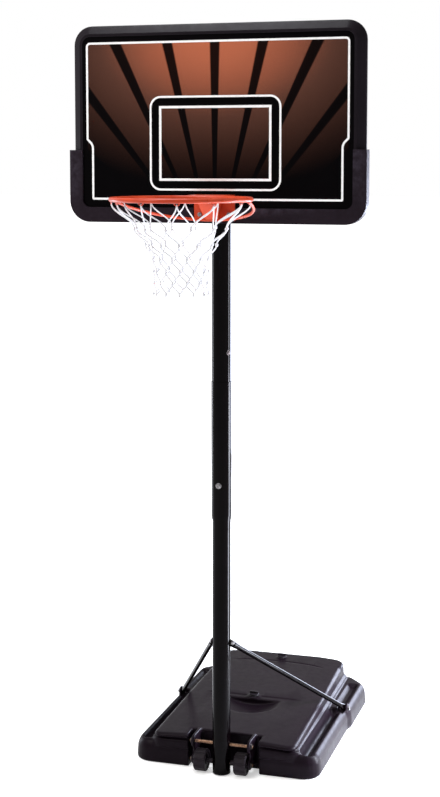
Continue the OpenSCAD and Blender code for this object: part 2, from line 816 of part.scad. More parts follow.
// Flattened end: a round tab that swells into a collar round the end of the tube
module strut_end(tab, collar, along) {
    hull() {
        rod_x(strut_tab_r, tab[0] - tab_t / 2, tab[0] + tab_t / 2, tab[1], tab[2], $fn = 32);
        aim(collar, along) cylinder(r = strut_d / 2 + 0.6, h = 8, center = true, $fn = 32);
    }
}

// Room for a bolt head or a nut on the flat of a tab
module strut_flat(tab, side) {
    room = 24;
    x = tab[0] + side * tab_t / 2;
    rod_x(strut_tab_r + 1, side > 0 ? x : x - room, side > 0 ? x + room : x, tab[1], tab[2]);
}

module strut_left() { strut(-1); }
module strut_right() { strut(1); }

strut_bolt_x = mast_r + tab_t + 2 * seat_gap;
strut_foot_x = strut_x + strut_ear_t + seat_gap;

module strut_pole_bolt() {
    color(zinc) bolt_x(-strut_bolt_x, strut_bolt_x + nut_h + 3, pole_y, strut_top_h);
}

module strut_pole_nut() {
    color(zinc) nut_x(strut_bolt_x, 1, pole_y, strut_top_h);
}

module strut_base_bolts() {
    for (side = [0, 1]) mirror([side, 0, 0]) color(zinc) mirror([1, 0, 0])
        bolt_x(-strut_foot_x, -(strut_x - tab_t - nut_h - 4), pole_y + strut_foot_y, strut_foot_h);
}

module strut_base_nuts() {
    for (side = [-1, 1]) color(zinc)
        nut_x(side * (strut_x - tab_t - 2 * seat_gap), -side, pole_y + strut_foot_y, strut_foot_h);
}

// The board

// Ring of the frame's outline at a place along y
function board_ring(d, y) = [for (p = rounded(inset(frame_outline, d), 8)) [p[0], y, p[1]]];

// Places of the four rim bolts and of the four mount screws, as [x, z]
rim_bolt_places = [for (x = [-1, 1], z = [-1, 1]) [x * rim_bolt_x / 2, bracket_mid_z + z * rim_bolt_z / 2]];
screw_places = [for (x = [-1, 1], z = [-1, 1]) [x * screw_x / 2, upper_mount_z + z * screw_z / 2]];

module frame_pocket(d, y, depth) {
    upright(y, depth) round_rect(frame_w - 2 * d, frame_bottom + d, frame_top - d, max(frame_r - d, 12));
}

// Outer shape of the frame, bevelled towards its face
module frame_body() {
    loft([board_ring(2, frame_back_y), board_ring(0, frame_back_y - 3),
        board_ring(0, board_y + bevel_depth), board_ring(6, board_y + bevel_depth - 6),
        board_ring(bevel_w, board_y)]);
}

// Ribs and bosses behind the skin
module frame_ribs(y) {
    depth = frame_back_y - y;
    for (x = rib_x, s = [-1, 1])
        translate([s * x - skin_t / 2, y, frame_bottom + 1])
            cube([skin_t, depth, frame_top - frame_bottom - 2]);
    for (z = rib_z)
        translate([-frame_w / 2 + 1, y, board_bottom + z - skin_t / 2]) cube([frame_w - 2, depth, skin_t]);
    for (p = concat(rim_bolt_places, screw_places)) rod_y(boss_r, y, frame_back_y, p[0], p[1]);
}

// Moulded tray that holds the panel, with ribs on its back
module board_frame() {
    skin_y = board_y + panel_t;
    rib_y = skin_y + skin_t;
    color(plastic) difference() {
        union() {
            difference() {
                frame_body();
                frame_pocket(border_w, board_y - 1, panel_t + 1);
                frame_pocket(frame_lip, board_y + bevel_depth + skin_t, frame_depth);
                frame_pocket(border_w - 4, rib_y, frame_depth);
            }
            intersection() {
                frame_body();
                frame_ribs(rib_y - 1);
            }
        }
        for (p = rim_bolt_places) rod_y(bolt_hole_r, board_y - 1, frame_back_y + 1, p[0], p[1]);
        for (p = screw_places) rod_y(screw_r + shaft_gap, frame_back_y - 22, frame_back_y + 1, p[0], p[1]);
    }
}

module board_panel() {
    d = border_w + seat_gap;
    color(black_paint) difference() {
        frame_pocket(d, board_y, panel_t);
        for (p = rim_bolt_places) rod_y(bolt_hole_r, board_y - 1, board_y + panel_t + 1, p[0], p[1]);
    }
}

// Padded edge round the lower part of the board, open behind the rim's plate
module edge_pad() {
    outer_r = frame_r + pad_t + seat_gap;
    pad_top = board_bottom + pad_h;
    front = board_y - seat_gap - pad_t;
    color(plastic) difference() {
        upright(front, frame_back_y - front) intersection() {
            round_rect(board_w, board_bottom, board_bottom + board_h, outer_r);
            translate([-board_w, board_bottom - 1]) square([2 * board_w, pad_h + 1]);
        }
        upright(board_y - seat_gap, frame_depth + 10)
            round_rect(frame_w + 2 * seat_gap, frame_bottom - seat_gap, pad_top + board_h,
                frame_r + seat_gap);
        upright(front - 1, pad_t + 2)
            round_rect(board_w - 2 * pad_w, board_bottom + pad_w + 5, pad_top + board_h, 28);
        translate([-bracket_w / 2 - 2, front - 1, plate_bottom - 3]) cube([bracket_w + 4, pad_t + 2, 90]);
    }
}

// Steel plate behind the board with two ears that straddle the pole
module mount(z, h, places, hole_r) {
    x = top_r + mount_gap;
    color(black_paint) difference() {
        union() {
            translate([-mount_w / 2, frame_back_y, z - h / 2]) cube([mount_w, mount_t, h]);
            for (s = [0, 1]) mirror([s, 0, 0]) {
                translate([x, frame_back_y, z - mount_ear_h / 2])
                    cube([mount_t, pole_y - frame_back_y, mount_ear_h]);
                translate([x, pole_y - 1, z - mount_ear_h / 2 + 14])
                    cube([mount_t, mount_ear_l, mount_ear_h - 28]);
            }
        }
        for (p = places) rod_y(hole_r, frame_back_y - 1, frame_back_y + mount_t + 1, p[0], p[1]);
        rod_x(bolt_hole_r, -2 * x, 2 * x, pole_y, z);
    }
}

module lower_mount() { mount(lower_mount_z, lower_mount_h, rim_bolt_places, bolt_hole_r); }
module upper_mount() { mount(upper_mount_z, upper_mount_h, screw_places, screw_r + bolt_gap); }

mount_bolt_x = top_r + mount_gap + mount_t + seat_gap;

module mount_bolts() {
    for (z = [lower_mount_z, upper_mount_z]) color(zinc)
        bolt_x(-mount_bolt_x, mount_bolt_x + nut_h + 3, pole_y, z);
}

module mount_nuts() {
    for (z = [lower_mount_z, upper_mount_z]) color(zinc) nut_x(mount_bolt_x, 1, pole_y, z);
}

module board_screws() {
    seat = frame_back_y + mount_t + 0.1;
    for (p = screw_places) color(zinc) {
        rod_y(screw_r, frame_back_y - 20, seat, p[0], p[1]);
        rod_y(2 * screw_r, seat, seat + 3, p[0], p[1]);
    }
}

module rim_bolts() {
    seat = bracket_y - plate_t - 0.1;
    for (p = rim_bolt_places) color(zinc) {
        rod_y(bolt_r, seat, frame_back_y + mount_t + nut_h + 3, p[0], p[1]);
        translate([p[0], seat, p[1]]) rotate([90, 0, 0]) hex(head_r, head_h);
    }
}

module rim_nuts() {
    for (p = rim_bolt_places) color(zinc)
        translate([p[0], frame_back_y + mount_t + 0.1, p[1]]) rotate([-90, 0, 0]) difference() {
            hex(head_r, nut_h);
            translate([0, 0, -1]) cylinder(r = bolt_r + shaft_gap, h = nut_h + 2);
        }
}

// The rim

module rim_ring() {
    color(orange) translate([0, ring_y, ring_z]) rotate_extrude() translate([ring_r, 0]) circle(rod_r);
}

// Back plate, shelf and tapered gusset between the board and the ring
module rim_bracket() {
    shelf_z = plate_bottom + bracket_h - plate_t;
    ring_back = ring_y + ring_r;
    face = bracket_y - plate_t;
    gusset_y = face - gusset_foot;
    color(orange) difference() {
        union() {
            translate([-bracket_w / 2, face, plate_bottom]) cube([bracket_w, plate_t, bracket_h]);
            translate([0, 0, shelf_z]) linear_extrude(plate_t) polygon([
                [-bracket_w / 2, face + 1], [-shelf_front_w / 2, ring_back], [shelf_front_w / 2, ring_back],
                [bracket_w / 2, face + 1]]);
            hull() {
                translate([-gusset_top_w / 2, ring_back + 10, shelf_z]) cube([gusset_top_w, plate_t, 1]);
                translate([-gusset_bottom_w / 2, gusset_y, plate_bottom]) cube([gusset_bottom_w, plate_t, 1]);
            }
            for (s = [0, 1]) mirror([s, 0, 0]) hull() {
                translate([gusset_top_w / 2 - plate_t, ring_back + 10, shelf_z])
                    cube([plate_t, face - ring_back - 9, 1]);
                translate([gusset_bottom_w / 2 - plate_t, gusset_y, plate_bottom])
                    cube([plate_t, face - gusset_y + 1, 1]);
            }
        }
        for (p = rim_bolt_places) rod_y(bolt_hole_r, face - 1, bracket_y + 1, p[0], p[1]);
    }
}

// Bent rod from the sides of the ring down to the foot of the gusset
module rim_brace() {
    steps = 28;
    sides = 8;
    back = bracket_y - plate_t - gusset_foot - ring_y;
    high = ring_z - rod_r;
    low = plate_bottom + brace_d / 2 - 1;
    path = [for (k = [0 : steps]) let (a = 180 * k / steps)
        [ring_r * cos(a), ring_y + back * sin(a), high - (high - low) * sin(a)]];
    flat = unit([0, (high - low), back]);
    color(orange) loft([for (k = [0 : steps])
        let (t = unit(path[min(k + 1, steps)] - path[max(k - 1, 0)]), side = cross(flat, t))
        [for (i = [0 : sides - 1]) let (a = 360 * i / sides)
            path[k] + (side * cos(a) + cross(t, side) * sin(a)) * brace_d / 2]]);
}

module net_hooks() {
    for (i = [0 : loops - 1]) color(orange) translate([0, ring_y, hook_z]) rotate(i * 360 / loops + loop_turn)
        translate([ring_r, 0, 0]) rotate([0, 0, 90]) rotate([-90, 0, 0])
            rotate_extrude(angle = 180) translate([hook_r, 0]) circle(hook_wire_r);
}

// The net: rows of knots on a funnel, each tied to the two knots above it

// Radius of the funnel at a share of the way down
function net_r(f) = neck_d / 2 + (mouth_r - neck_d / 2) * pow(1 - min(f / 0.66, 1), 1.35);

// Share of the way down of a row: the top loops are the longest
function net_f(k) = pow(k / net_rows, row_power);

function net_z(k) = net_top + (net_bottom - net_top) * net_f(k);

function net_angle(k, i) = (i + (k % 2) / 2) * 360 / loops + loop_turn;

// Eight corners of a knot: left, up, right and down, outside and then inside
function knot(k, i) =
    let (a = net_angle(k, i), out = [cos(a), sin(a), 0], right = [-sin(a), cos(a), 0],
        k0 = max(k - 1, 0), k1 = min(k + 1, net_rows),
        up = unit(out * (net_r(net_f(k0)) - net_r(net_f(k1))) + [0, 0, net_z(k0) - net_z(k1)]),
        n = cross(right, up), p = [0, ring_y, 0] + out * net_r(net_f(k)) + [0, 0, net_z(k)],
        h = cord_d / sqrt(2))
    [for (s = [1, -1], d = [-right, up, right, -up]) p + d * h + n * s * cord_d / 2];

// Index of a corner of a knot in the net's points
function knot_id(k, i, c) = 8 * (k * loops + (i + loops) % loops) + c;

// Two triangles of a four-sided face
function quad(a, b, c, d) = [[a, b, c], [a, c, d]];

// Four sides of a cord: from corners a, b of one knot to corners c, d of the knot above it
function cord_faces(a, b, c, d) = concat(
    quad(a, c, d, b), quad(a + 4, b + 4, d + 4, c + 4), quad(c, a, a + 4, c + 4), quad(b, d, d + 4, b + 4));

module net() {
    points = [for (k = [0 : net_rows], i = [0 : loops - 1]) each knot(k, i)];
    knots = [for (k = [0 : net_rows], i = [0 : loops - 1])
        let (l = knot_id(k, i, 0), u = l + 1, r = l + 2, d = l + 3)
        each concat(quad(u, r, d, l), quad(u + 4, l + 4, d + 4, r + 4))];
    cords = [for (k = [1 : net_rows], i = [0 : loops - 1])
        let (right = i + k % 2, left = right - 1, l = knot_id(k, i, 0))
        each concat(
            cord_faces(l + 1, l + 2, knot_id(k - 1, right, 0), knot_id(k - 1, right, 3)),
            cord_faces(l, l + 1, knot_id(k - 1, left, 3), knot_id(k - 1, left, 2)))];
    ends = [for (i = [0 : loops - 1])
        let (a = knot_id(0, i, 0), b = knot_id(net_rows, i, 0))
        each concat(
            quad(a + 2, a + 1, a + 5, a + 6), quad(a + 1, a, a + 4, a + 5),
            quad(b + 3, b + 2, b + 6, b + 7), quad(b, b + 3, b + 7, b + 4))];
    color(white) polyhedron(points, concat(knots, cords, ends));
}

base_tank();
bottom_pole();
middle_pole();
pole_foot();
pole_rod();
rod_push_nuts();
wheel_axle();
axle_spacers();
axle_push_nuts();
wheel_left();
wheel_right();
strut_left();
strut_right();
strut_pole_bolt();
strut_pole_nut();
strut_base_bolts();
strut_base_nuts();
front_plug();
front_plug_seal();
rear_plug();
rear_plug_seal();
pole_sleeve();
sleeve_bush();
sleeve_rivets();
top_pole();
top_cap();
pole_button();
height_bolt();
height_nut();
board_frame();
board_panel();
edge_pad();
lower_mount();
upper_mount();
mount_bolts();
mount_nuts();
board_screws();
rim_bolts();
rim_nuts();
rim_ring();
rim_bracket();
rim_brace();
net_hooks();
net();
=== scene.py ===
"""Looks of a portable basketball hoop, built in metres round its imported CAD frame."""

import logging
import math
from dataclasses import dataclass
from enum import Enum
from typing import Iterable, Sequence

import bmesh
import bpy
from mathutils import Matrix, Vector
from mathutils.bvhtree import BVHTree


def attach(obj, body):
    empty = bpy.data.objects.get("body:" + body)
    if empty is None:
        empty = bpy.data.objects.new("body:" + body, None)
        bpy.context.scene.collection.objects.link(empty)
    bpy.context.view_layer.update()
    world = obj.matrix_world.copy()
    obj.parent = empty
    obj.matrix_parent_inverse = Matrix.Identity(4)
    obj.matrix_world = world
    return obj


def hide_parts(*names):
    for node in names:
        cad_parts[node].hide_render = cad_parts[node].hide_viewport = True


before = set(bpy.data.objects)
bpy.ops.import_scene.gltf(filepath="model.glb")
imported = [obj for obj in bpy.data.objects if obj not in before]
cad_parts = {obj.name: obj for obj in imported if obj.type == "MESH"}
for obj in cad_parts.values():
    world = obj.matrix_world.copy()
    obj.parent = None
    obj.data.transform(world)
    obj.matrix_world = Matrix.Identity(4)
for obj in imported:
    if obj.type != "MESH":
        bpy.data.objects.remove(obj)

LOG = logging.getLogger("hoop")
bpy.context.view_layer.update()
WELD_DISTANCE = 3e-6
FLAT_ANGLE = math.radians(0.6)
PLAIN_SHARP = 40.0
EASED_SHARP = 50.0
ROUND_SHARP = 80.0
LEAST_MITRE = 0.3

Colour = tuple[float, float, float]
Corner = tuple[float, float, float]
Place = tuple[float, float, float]
Pair = tuple[float, float]
Socket = bpy.types.NodeSocket
Material = bpy.types.Material
Piece = bpy.types.Object
BMesh = bmesh.types.BMesh


class Body(Enum):
    """Bodies of the CAD model that pieces ride on."""

    BASE = "base"
    UPPER = "upper"
    LEFT_WHEEL = "left_wheel"
    RIGHT_WHEEL = "right_wheel"
    FRONT_CAP = "front_cap"
    REAR_CAP = "rear_cap"


class Edge(Enum):
    """Eased edges: width in metres, steps round an edge, and the bend in degrees from which it is eased."""

    HOOK = (0.0003, 1, 60.0)
    BRACE = (0.0004, 1, 60.0)
    SEAL = (0.0004, 2, 32.0)
    FINE = (0.0005, 2, 32.0)
    SMALL = (0.0006, 2, 32.0)
    BLUNT = (0.0008, 2, 32.0)
    SOFT = (0.0012, 2, 32.0)
    ROUND = (0.0012, 3, 32.0)
    WHEEL = (0.0014, 3, 32.0)
    GUARD = (0.003, 3, 32.0)


@dataclass(frozen=True)
class Patches:
    """Soft patches: waves in a metre, octaves, and the noise at which they start and are full."""

    scale: float
    detail: float = 3.0
    low: float = 0.3
    high: float = 0.7


@dataclass(frozen=True)
class Grain:
    """Fine relief: waves in a metre, depth in metres, share that shows, octaves, scale along each axis."""

    scale: float
    depth: float
    strength: float = 0.4
    detail: float = 3.0
    stretch: tuple[float, float, float] = (1, 1, 1)


def linear(red: int, green: int, blue: int) -> Colour:
    """Turns a screen colour into scene values.

    Args:
        red: Red from 0 to 255.
        green: Green from 0 to 255.
        blue: Blue from 0 to 255.

    Returns:
        The three values in linear light.
    """

    def channel(value: int) -> float:
        """Linear value of one channel."""
        share = value / 255
        return share / 12.92 if share <= 0.04045 else ((share + 0.055) / 1.055) ** 2.4

    return channel(red), channel(green), channel(blue)


class Nodes:
    """Short ways to add nodes to a tree."""

    def __init__(self, tree: bpy.types.NodeTree) -> None:
        """Keeps the tree that the nodes go into."""
        self.tree = tree

    def add(self, kind: str, **values: object) -> bpy.types.Node:
        """Adds a node.

        Args:
            kind: Blender's name of the node type.
            **values: Properties of the node.

        Returns:
            The new node.
        """
        node = self.tree.nodes.new(kind)
        for key, value in values.items():
            setattr(node, key, value)
        return node

    def feed(self, socket: Socket, value: object) -> None:
        """Links a socket to a socket, or sets a plain value on it.

        Args:
            socket: Input that takes the value.
            value: An output socket, a number or a colour.
        """
        if isinstance(value, Socket):
            self.tree.links.new(value, socket)
        elif isinstance(value, tuple) and len(value) == 3 and socket.type == "RGBA":
            socket.default_value = (*value, 1.0)
        else:
            socket.default_value = value

    def coords(self, kind: str = "Object") -> Socket:
        """Coordinates of the piece, in metres for the kind Object."""
        return self.add("ShaderNodeTexCoord").outputs[kind]

    def calc(self, operation: str, first: object, second: object = 0.0) -> Socket:
        """Adds a math node.

        Args:
            operation: Name of the operation.
            first: First operand, a socket or a number.
            second: Second operand.

        Returns:
            The result.
        """
        node = self.add("ShaderNodeMath", operation=operation)
        self.feed(node.inputs[0], first)
        self.feed(node.inputs[1], second)
        return node.outputs[0]

    def square_sum(self, first: Socket, second: Socket) -> Socket:
        """Sum of the squares of two values."""
        return self.calc("ADD", self.calc("MULTIPLY", first, first), self.calc("MULTIPLY", second, second))

    def away(self, source: Socket, middle: float = 0.0) -> Socket:
        """Distance of a value from a middle."""
        return self.calc("ABSOLUTE", self.calc("SUBTRACT", source, middle))

    def split(self, vector: Socket) -> tuple[Socket, Socket, Socket]:
        """Takes a vector apart.

        Args:
            vector: The vector.

        Returns:
            Its X, Y and Z.
        """
        node = self.add("ShaderNodeSeparateXYZ")
        self.feed(node.inputs[0], vector)
        return node.outputs[0], node.outputs[1], node.outputs[2]

    def noise(self, scale: float, detail: float, stretch: Sequence[float] = (1, 1, 1)) -> Socket:
        """Noise over the piece.

        Args:
            scale: Waves in a metre.
            detail: Octaves of finer noise.
            stretch: Scale along each axis.

        Returns:
            Noise from 0 to 1.
        """
        place = self.add("ShaderNodeMapping")
        self.feed(place.inputs["Vector"], self.coords())
        place.inputs["Scale"].default_value = tuple(stretch)
        node = self.add("ShaderNodeTexNoise")
        self.feed(node.inputs["Vector"], place.outputs[0])
        node.inputs["Scale"].default_value = scale
        node.inputs["Detail"].default_value = detail
        return node.outputs["Fac"]

    def ramp(self, source: Socket, stops: Iterable[tuple[float, Colour]]) -> Socket:
        """Colours along a value.

        Args:
            source: Value from 0 to 1.
            stops: Places and their colours.

        Returns:
            The colour.
        """
        node = self.add("ShaderNodeValToRGB")
        band = node.color_ramp
        for index, (place, colour) in enumerate(stops):
            stop = band.elements[index] if index < 2 else band.elements.new(place)
            stop.position = place
            stop.color = (*colour, 1.0)
        self.feed(node.inputs[0], source)
        return node.outputs[0]

    def span(self, source: Socket, low: float, high: float, start: float, end: float) -> Socket:
        """Maps a value from one range to another.

        Args:
            source: The value.
            low: Value that gives start.
            high: Value that gives end.
            start: Result at low.
            end: Result at high.

        Returns:
            The mapped value, held within its range.
        """
        node = self.add("ShaderNodeMapRange")
        for socket, value in zip(node.inputs, (source, low, high, start, end)):
            self.feed(socket, value)
        return node.outputs[0]

    def mix(self, share: object, first: object, second: object) -> Socket:
        """Mixes two colours.

        Args:
            share: Share of the second colour.
            first: First colour, a socket or three values.
            second: Second colour.

        Returns:
            The mixed colour.
        """
        node = self.add("ShaderNodeMix", data_type="RGBA")
        self.feed(node.inputs["Factor"], share)
        self.feed(node.inputs[6], first)
        self.feed(node.inputs[7], second)
        return node.outputs[2]

    def bump(self, height: Socket, depth: float, strength: float, under: Socket | None = None) -> Socket:
        """Small relief.

        Args:
            height: Height from 0 to 1.
            depth: Depth of the relief in metres.
            strength: Share of the relief that shows.
            under: Normal of a coarser relief.

        Returns:
            The bent normal.
        """
        node = self.add("ShaderNodeBump")
        node.inputs["Strength"].default_value = strength
        node.inputs["Distance"].default_value = depth
        self.feed(node.inputs["Height"], height)
        if under is not None:
            self.feed(node.inputs["Normal"], under)
        return node.outputs[0]

    def level(self, patches: Patches, start: float, end: float) -> Socket:
        """Value that varies in patches from start to end."""
        cloud = self.noise(patches.scale, patches.detail)
        return self.span(cloud, patches.low, patches.high, start, end)

    def tone(self, patches: Patches, first: Colour, second: Colour) -> Socket:
        """Colour that varies in patches from the first to the second."""
        cloud = self.noise(patches.scale, patches.detail)
        return self.ramp(cloud, [(patches.low, first), (patches.high, second)])

    def relief(self, grain: Grain, under: Socket | None = None) -> Socket:
        """Normal bent by a grain, over a coarser relief if there is one."""
        height = self.noise(grain.scale, grain.detail, grain.stretch)
        return self.bump(height, grain.depth, grain.strength, under)

    def seen(self) -> Socket:
        """Tells rays that show the background from those that light the object.

        Returns:
            1 for rays from the camera, a mirror or glass.
        """
        path = self.add("ShaderNodeLightPath")
        straight = self.calc("MAXIMUM", path.outputs["Is Camera Ray"], path.outputs["Is Glossy Ray"])
        return self.calc("MAXIMUM", straight, path.outputs["Is Transmission Ray"])


class Graph(Nodes):
    """Nodes of a new material, with its shader."""

    def __init__(self, name: str) -> None:
        """Makes the material.

        Args:
            name: Name of the material.
        """
        self.material = bpy.data.materials.new(name)
        self.material.use_nodes = True
        super().__init__(self.material.node_tree)
        self.shader = self.tree.nodes["Principled BSDF"]

    def set(self, **values: object) -> None:
        """Sets inputs of the shader, with _ for the spaces in their names."""
        for key, value in values.items():
            self.feed(self.shader.inputs[key.replace("_", " ")], value)


@dataclass(frozen=True)
class Finish:
    """Surface whose tone, gloss and fine relief vary a little over a piece."""

    name: str
    colour: Colour
    second: Colour
    roughness: float
    rough_step: Pair
    gloss: Patches
    tones: Patches
    grain: Grain
    specular: float = 0.5
    metallic: float = 0.0

    def base_colour(self, graph: Graph) -> Socket:
        """Colour with patches of the second tone."""
        return graph.tone(self.tones, self.second, self.colour)

    def material(self) -> Material:
        """Builds the material.

        Returns:
            The material.
        """
        graph = Graph(self.name)
        low, high = (self.roughness + step for step in self.rough_step)
        graph.set(Base_Color=self.base_colour(graph), Normal=graph.relief(self.grain))
        graph.set(Roughness=graph.level(self.gloss, low, high))
        graph.set(Specular_IOR_Level=self.specular, Metallic=self.metallic)
        return graph.material


@dataclass(frozen=True)
class MouldedPlastic(Finish):
    """Satin moulded plastic with a fine grain, its sharp edges a little lighter, toward the second tone."""

    roughness: float = 0.42
    rough_step: Pair = (-0.06, 0.08)
    gloss: Patches = Patches(40.0, 5.0, 0.2, 0.8)
    tones: Patches = Patches(7.0, 4.0)
    grain: Grain = Grain(900.0, 0.00012, 0.5, 2.0)
    shade: float = 0.78
    edge: Pair = (0.52, 0.6)
    edge_lightening: float = 0.6
    edge_patches: Patches = Patches(60.0, 3.0, 0.35, 0.65)
    least_edge_share: float = 0.2

    def base_colour(self, graph: Graph) -> Socket:
        """Colour with darker patches and lighter edges.

        Args:
            graph: Graph of the material.

        Returns:
            The colour.
        """
        shade = tuple(self.shade * value for value in self.colour)
        tone = graph.tone(self.tones, shade, self.colour)
        # Sharp edges, found by pointiness, are made lighter in patches toward the second tone.
        bend = graph.add("ShaderNodeNewGeometry").outputs["Pointiness"]
        edge = graph.span(bend, *self.edge, 0.0, self.edge_lightening)
        lighter_edge = graph.calc("MULTIPLY", edge, graph.level(self.edge_patches, self.least_edge_share, 1.0))
        return graph.mix(lighter_edge, tone, self.second)


@dataclass(frozen=True)
class PowderCoat(Finish):
    """Baked paint on steel with a faint orange peel."""

    roughness: float = 0.22
    rough_step: Pair = (-0.05, 0.07)
    gloss: Patches = Patches(55.0, 5.0, 0.25, 0.75)
    tones: Patches = Patches(18.0, 4.0, 0.3, 0.65)
    grain: Grain = Grain(420.0, 0.00008, 0.4, 1.0)


@dataclass(frozen=True)
class PlatedSteel(Finish):
    """Zinc-plated steel with fine drawn lines and dull spots of the second tone."""

    roughness: float = 0.34
    rough_step: Pair = (-0.1, 0.14)
    gloss: Patches = Patches(260.0, 3.0, 0.2, 0.8)
    tones: Patches = Patches(120.0, 4.0, 0.35, 0.6)
    grain: Grain = Grain(1600.0, 0.00004, 0.5, 2.0, (0.05, 1, 1))
    metallic: float = 1.0


@dataclass(frozen=True)
class SoftRubber(Finish):
    """Dull rubber with a fine cloudy bloom of the second tone."""

    roughness: float = 0.62
    rough_step: Pair = (0.0, 0.18)
    gloss: Patches = Patches(200.0)
    tones: Patches = Patches(90.0, 5.0, 0.45, 0.8)
    grain: Grain = Grain(700.0, 0.0001)
    bloom: float = 0.35

    def base_colour(self, graph: Graph) -> Socket:
        """Colour under the bloom."""
        return graph.mix(graph.level(self.tones, 0.0, self.bloom), self.colour, self.second)


@dataclass(frozen=True)
class PrintInk(Finish):
    """Screen-printed ink, its film thinner in patches of the second tone."""

    roughness: float = 0.3
    rough_step: Pair = (-0.05, 0.1)
    gloss: Patches = Patches(300.0)
    tones: Patches = Patches(70.0, 5.0, 0.35, 0.6)
    grain: Grain = Grain(800.0, 0.00005)


@dataclass(frozen=True)
class BraidedCord:
    """White braided nylon: crossing strands from the cord's own coordinates, along and round it, with painted
    shade in the valleys between the strands.
    """

    name: str
    colour: Colour
    # Colour of the painted shade in the valleys of the weave.
    shade: Colour
    turn: float = 0.0065
    strands: int = 4
    valley: float = -0.4
    unshaded_from: float = 0.7
    weave_depth: float = 0.0005
    weave_strength: float = 0.7
    fuzz: Grain = Grain(1400.0, 0.0002, 0.5)
    dulls: Patches = Patches(1400.0)
    roughness: Pair = (0.7, 0.9)
    sheen: float = 0.25
    sheen_roughness: float = 0.5

    def material(self) -> Material:
        """Builds the material.

        Returns:
            The material.
        """
        graph = Graph(self.name)
        along, round_it, _ = graph.split(graph.coords("UV"))
        steps = graph.calc("MULTIPLY", along, math.tau / self.turn)
        spin = graph.calc("MULTIPLY", round_it, math.tau * self.strands)
        ways = [graph.calc("SINE", graph.calc(way, steps, spin)) for way in ("ADD", "SUBTRACT")]
        weave = graph.span(graph.calc("MAXIMUM", *ways), self.valley, 1.0, 0.0, 1.0)
        # The valleys between the strands are painted darker with the shade colour as painted shade; the same
        # weave also bends the normal.
        tone = graph.ramp(weave, [(0.0, self.shade), (self.unshaded_from, self.colour)])
        braid = graph.bump(weave, self.weave_depth, self.weave_strength)
        graph.set(Base_Color=tone, Normal=graph.relief(self.fuzz, braid))
        graph.set(Roughness=graph.level(self.dulls, *self.roughness))
        graph.set(Sheen_Weight=self.sheen, Sheen_Roughness=self.sheen_roughness)
        return graph.material


@dataclass(frozen=True)
class PaintedBox:
    """Painted rectangle on the board, with rounded corners and a line of some width."""

    half: float
    low: float
    high: float
    corner_r: float
    line_w: float

    @property
    def middle(self) -> float:
        """Height of its middle."""
        return (self.high + self.low) / 2

    @property
    def half_height(self) -> float:
        """Half of its height."""
        return (self.high - self.low) / 2

    def corners(self) -> list[Corner]:
        """Its corners (x, z, radius) in order."""
        spots = ((-1, self.low), (1, self.low), (1, self.high), (-1, self.high))
        return [(side * self.half, z, self.corner_r) for side, z in spots]


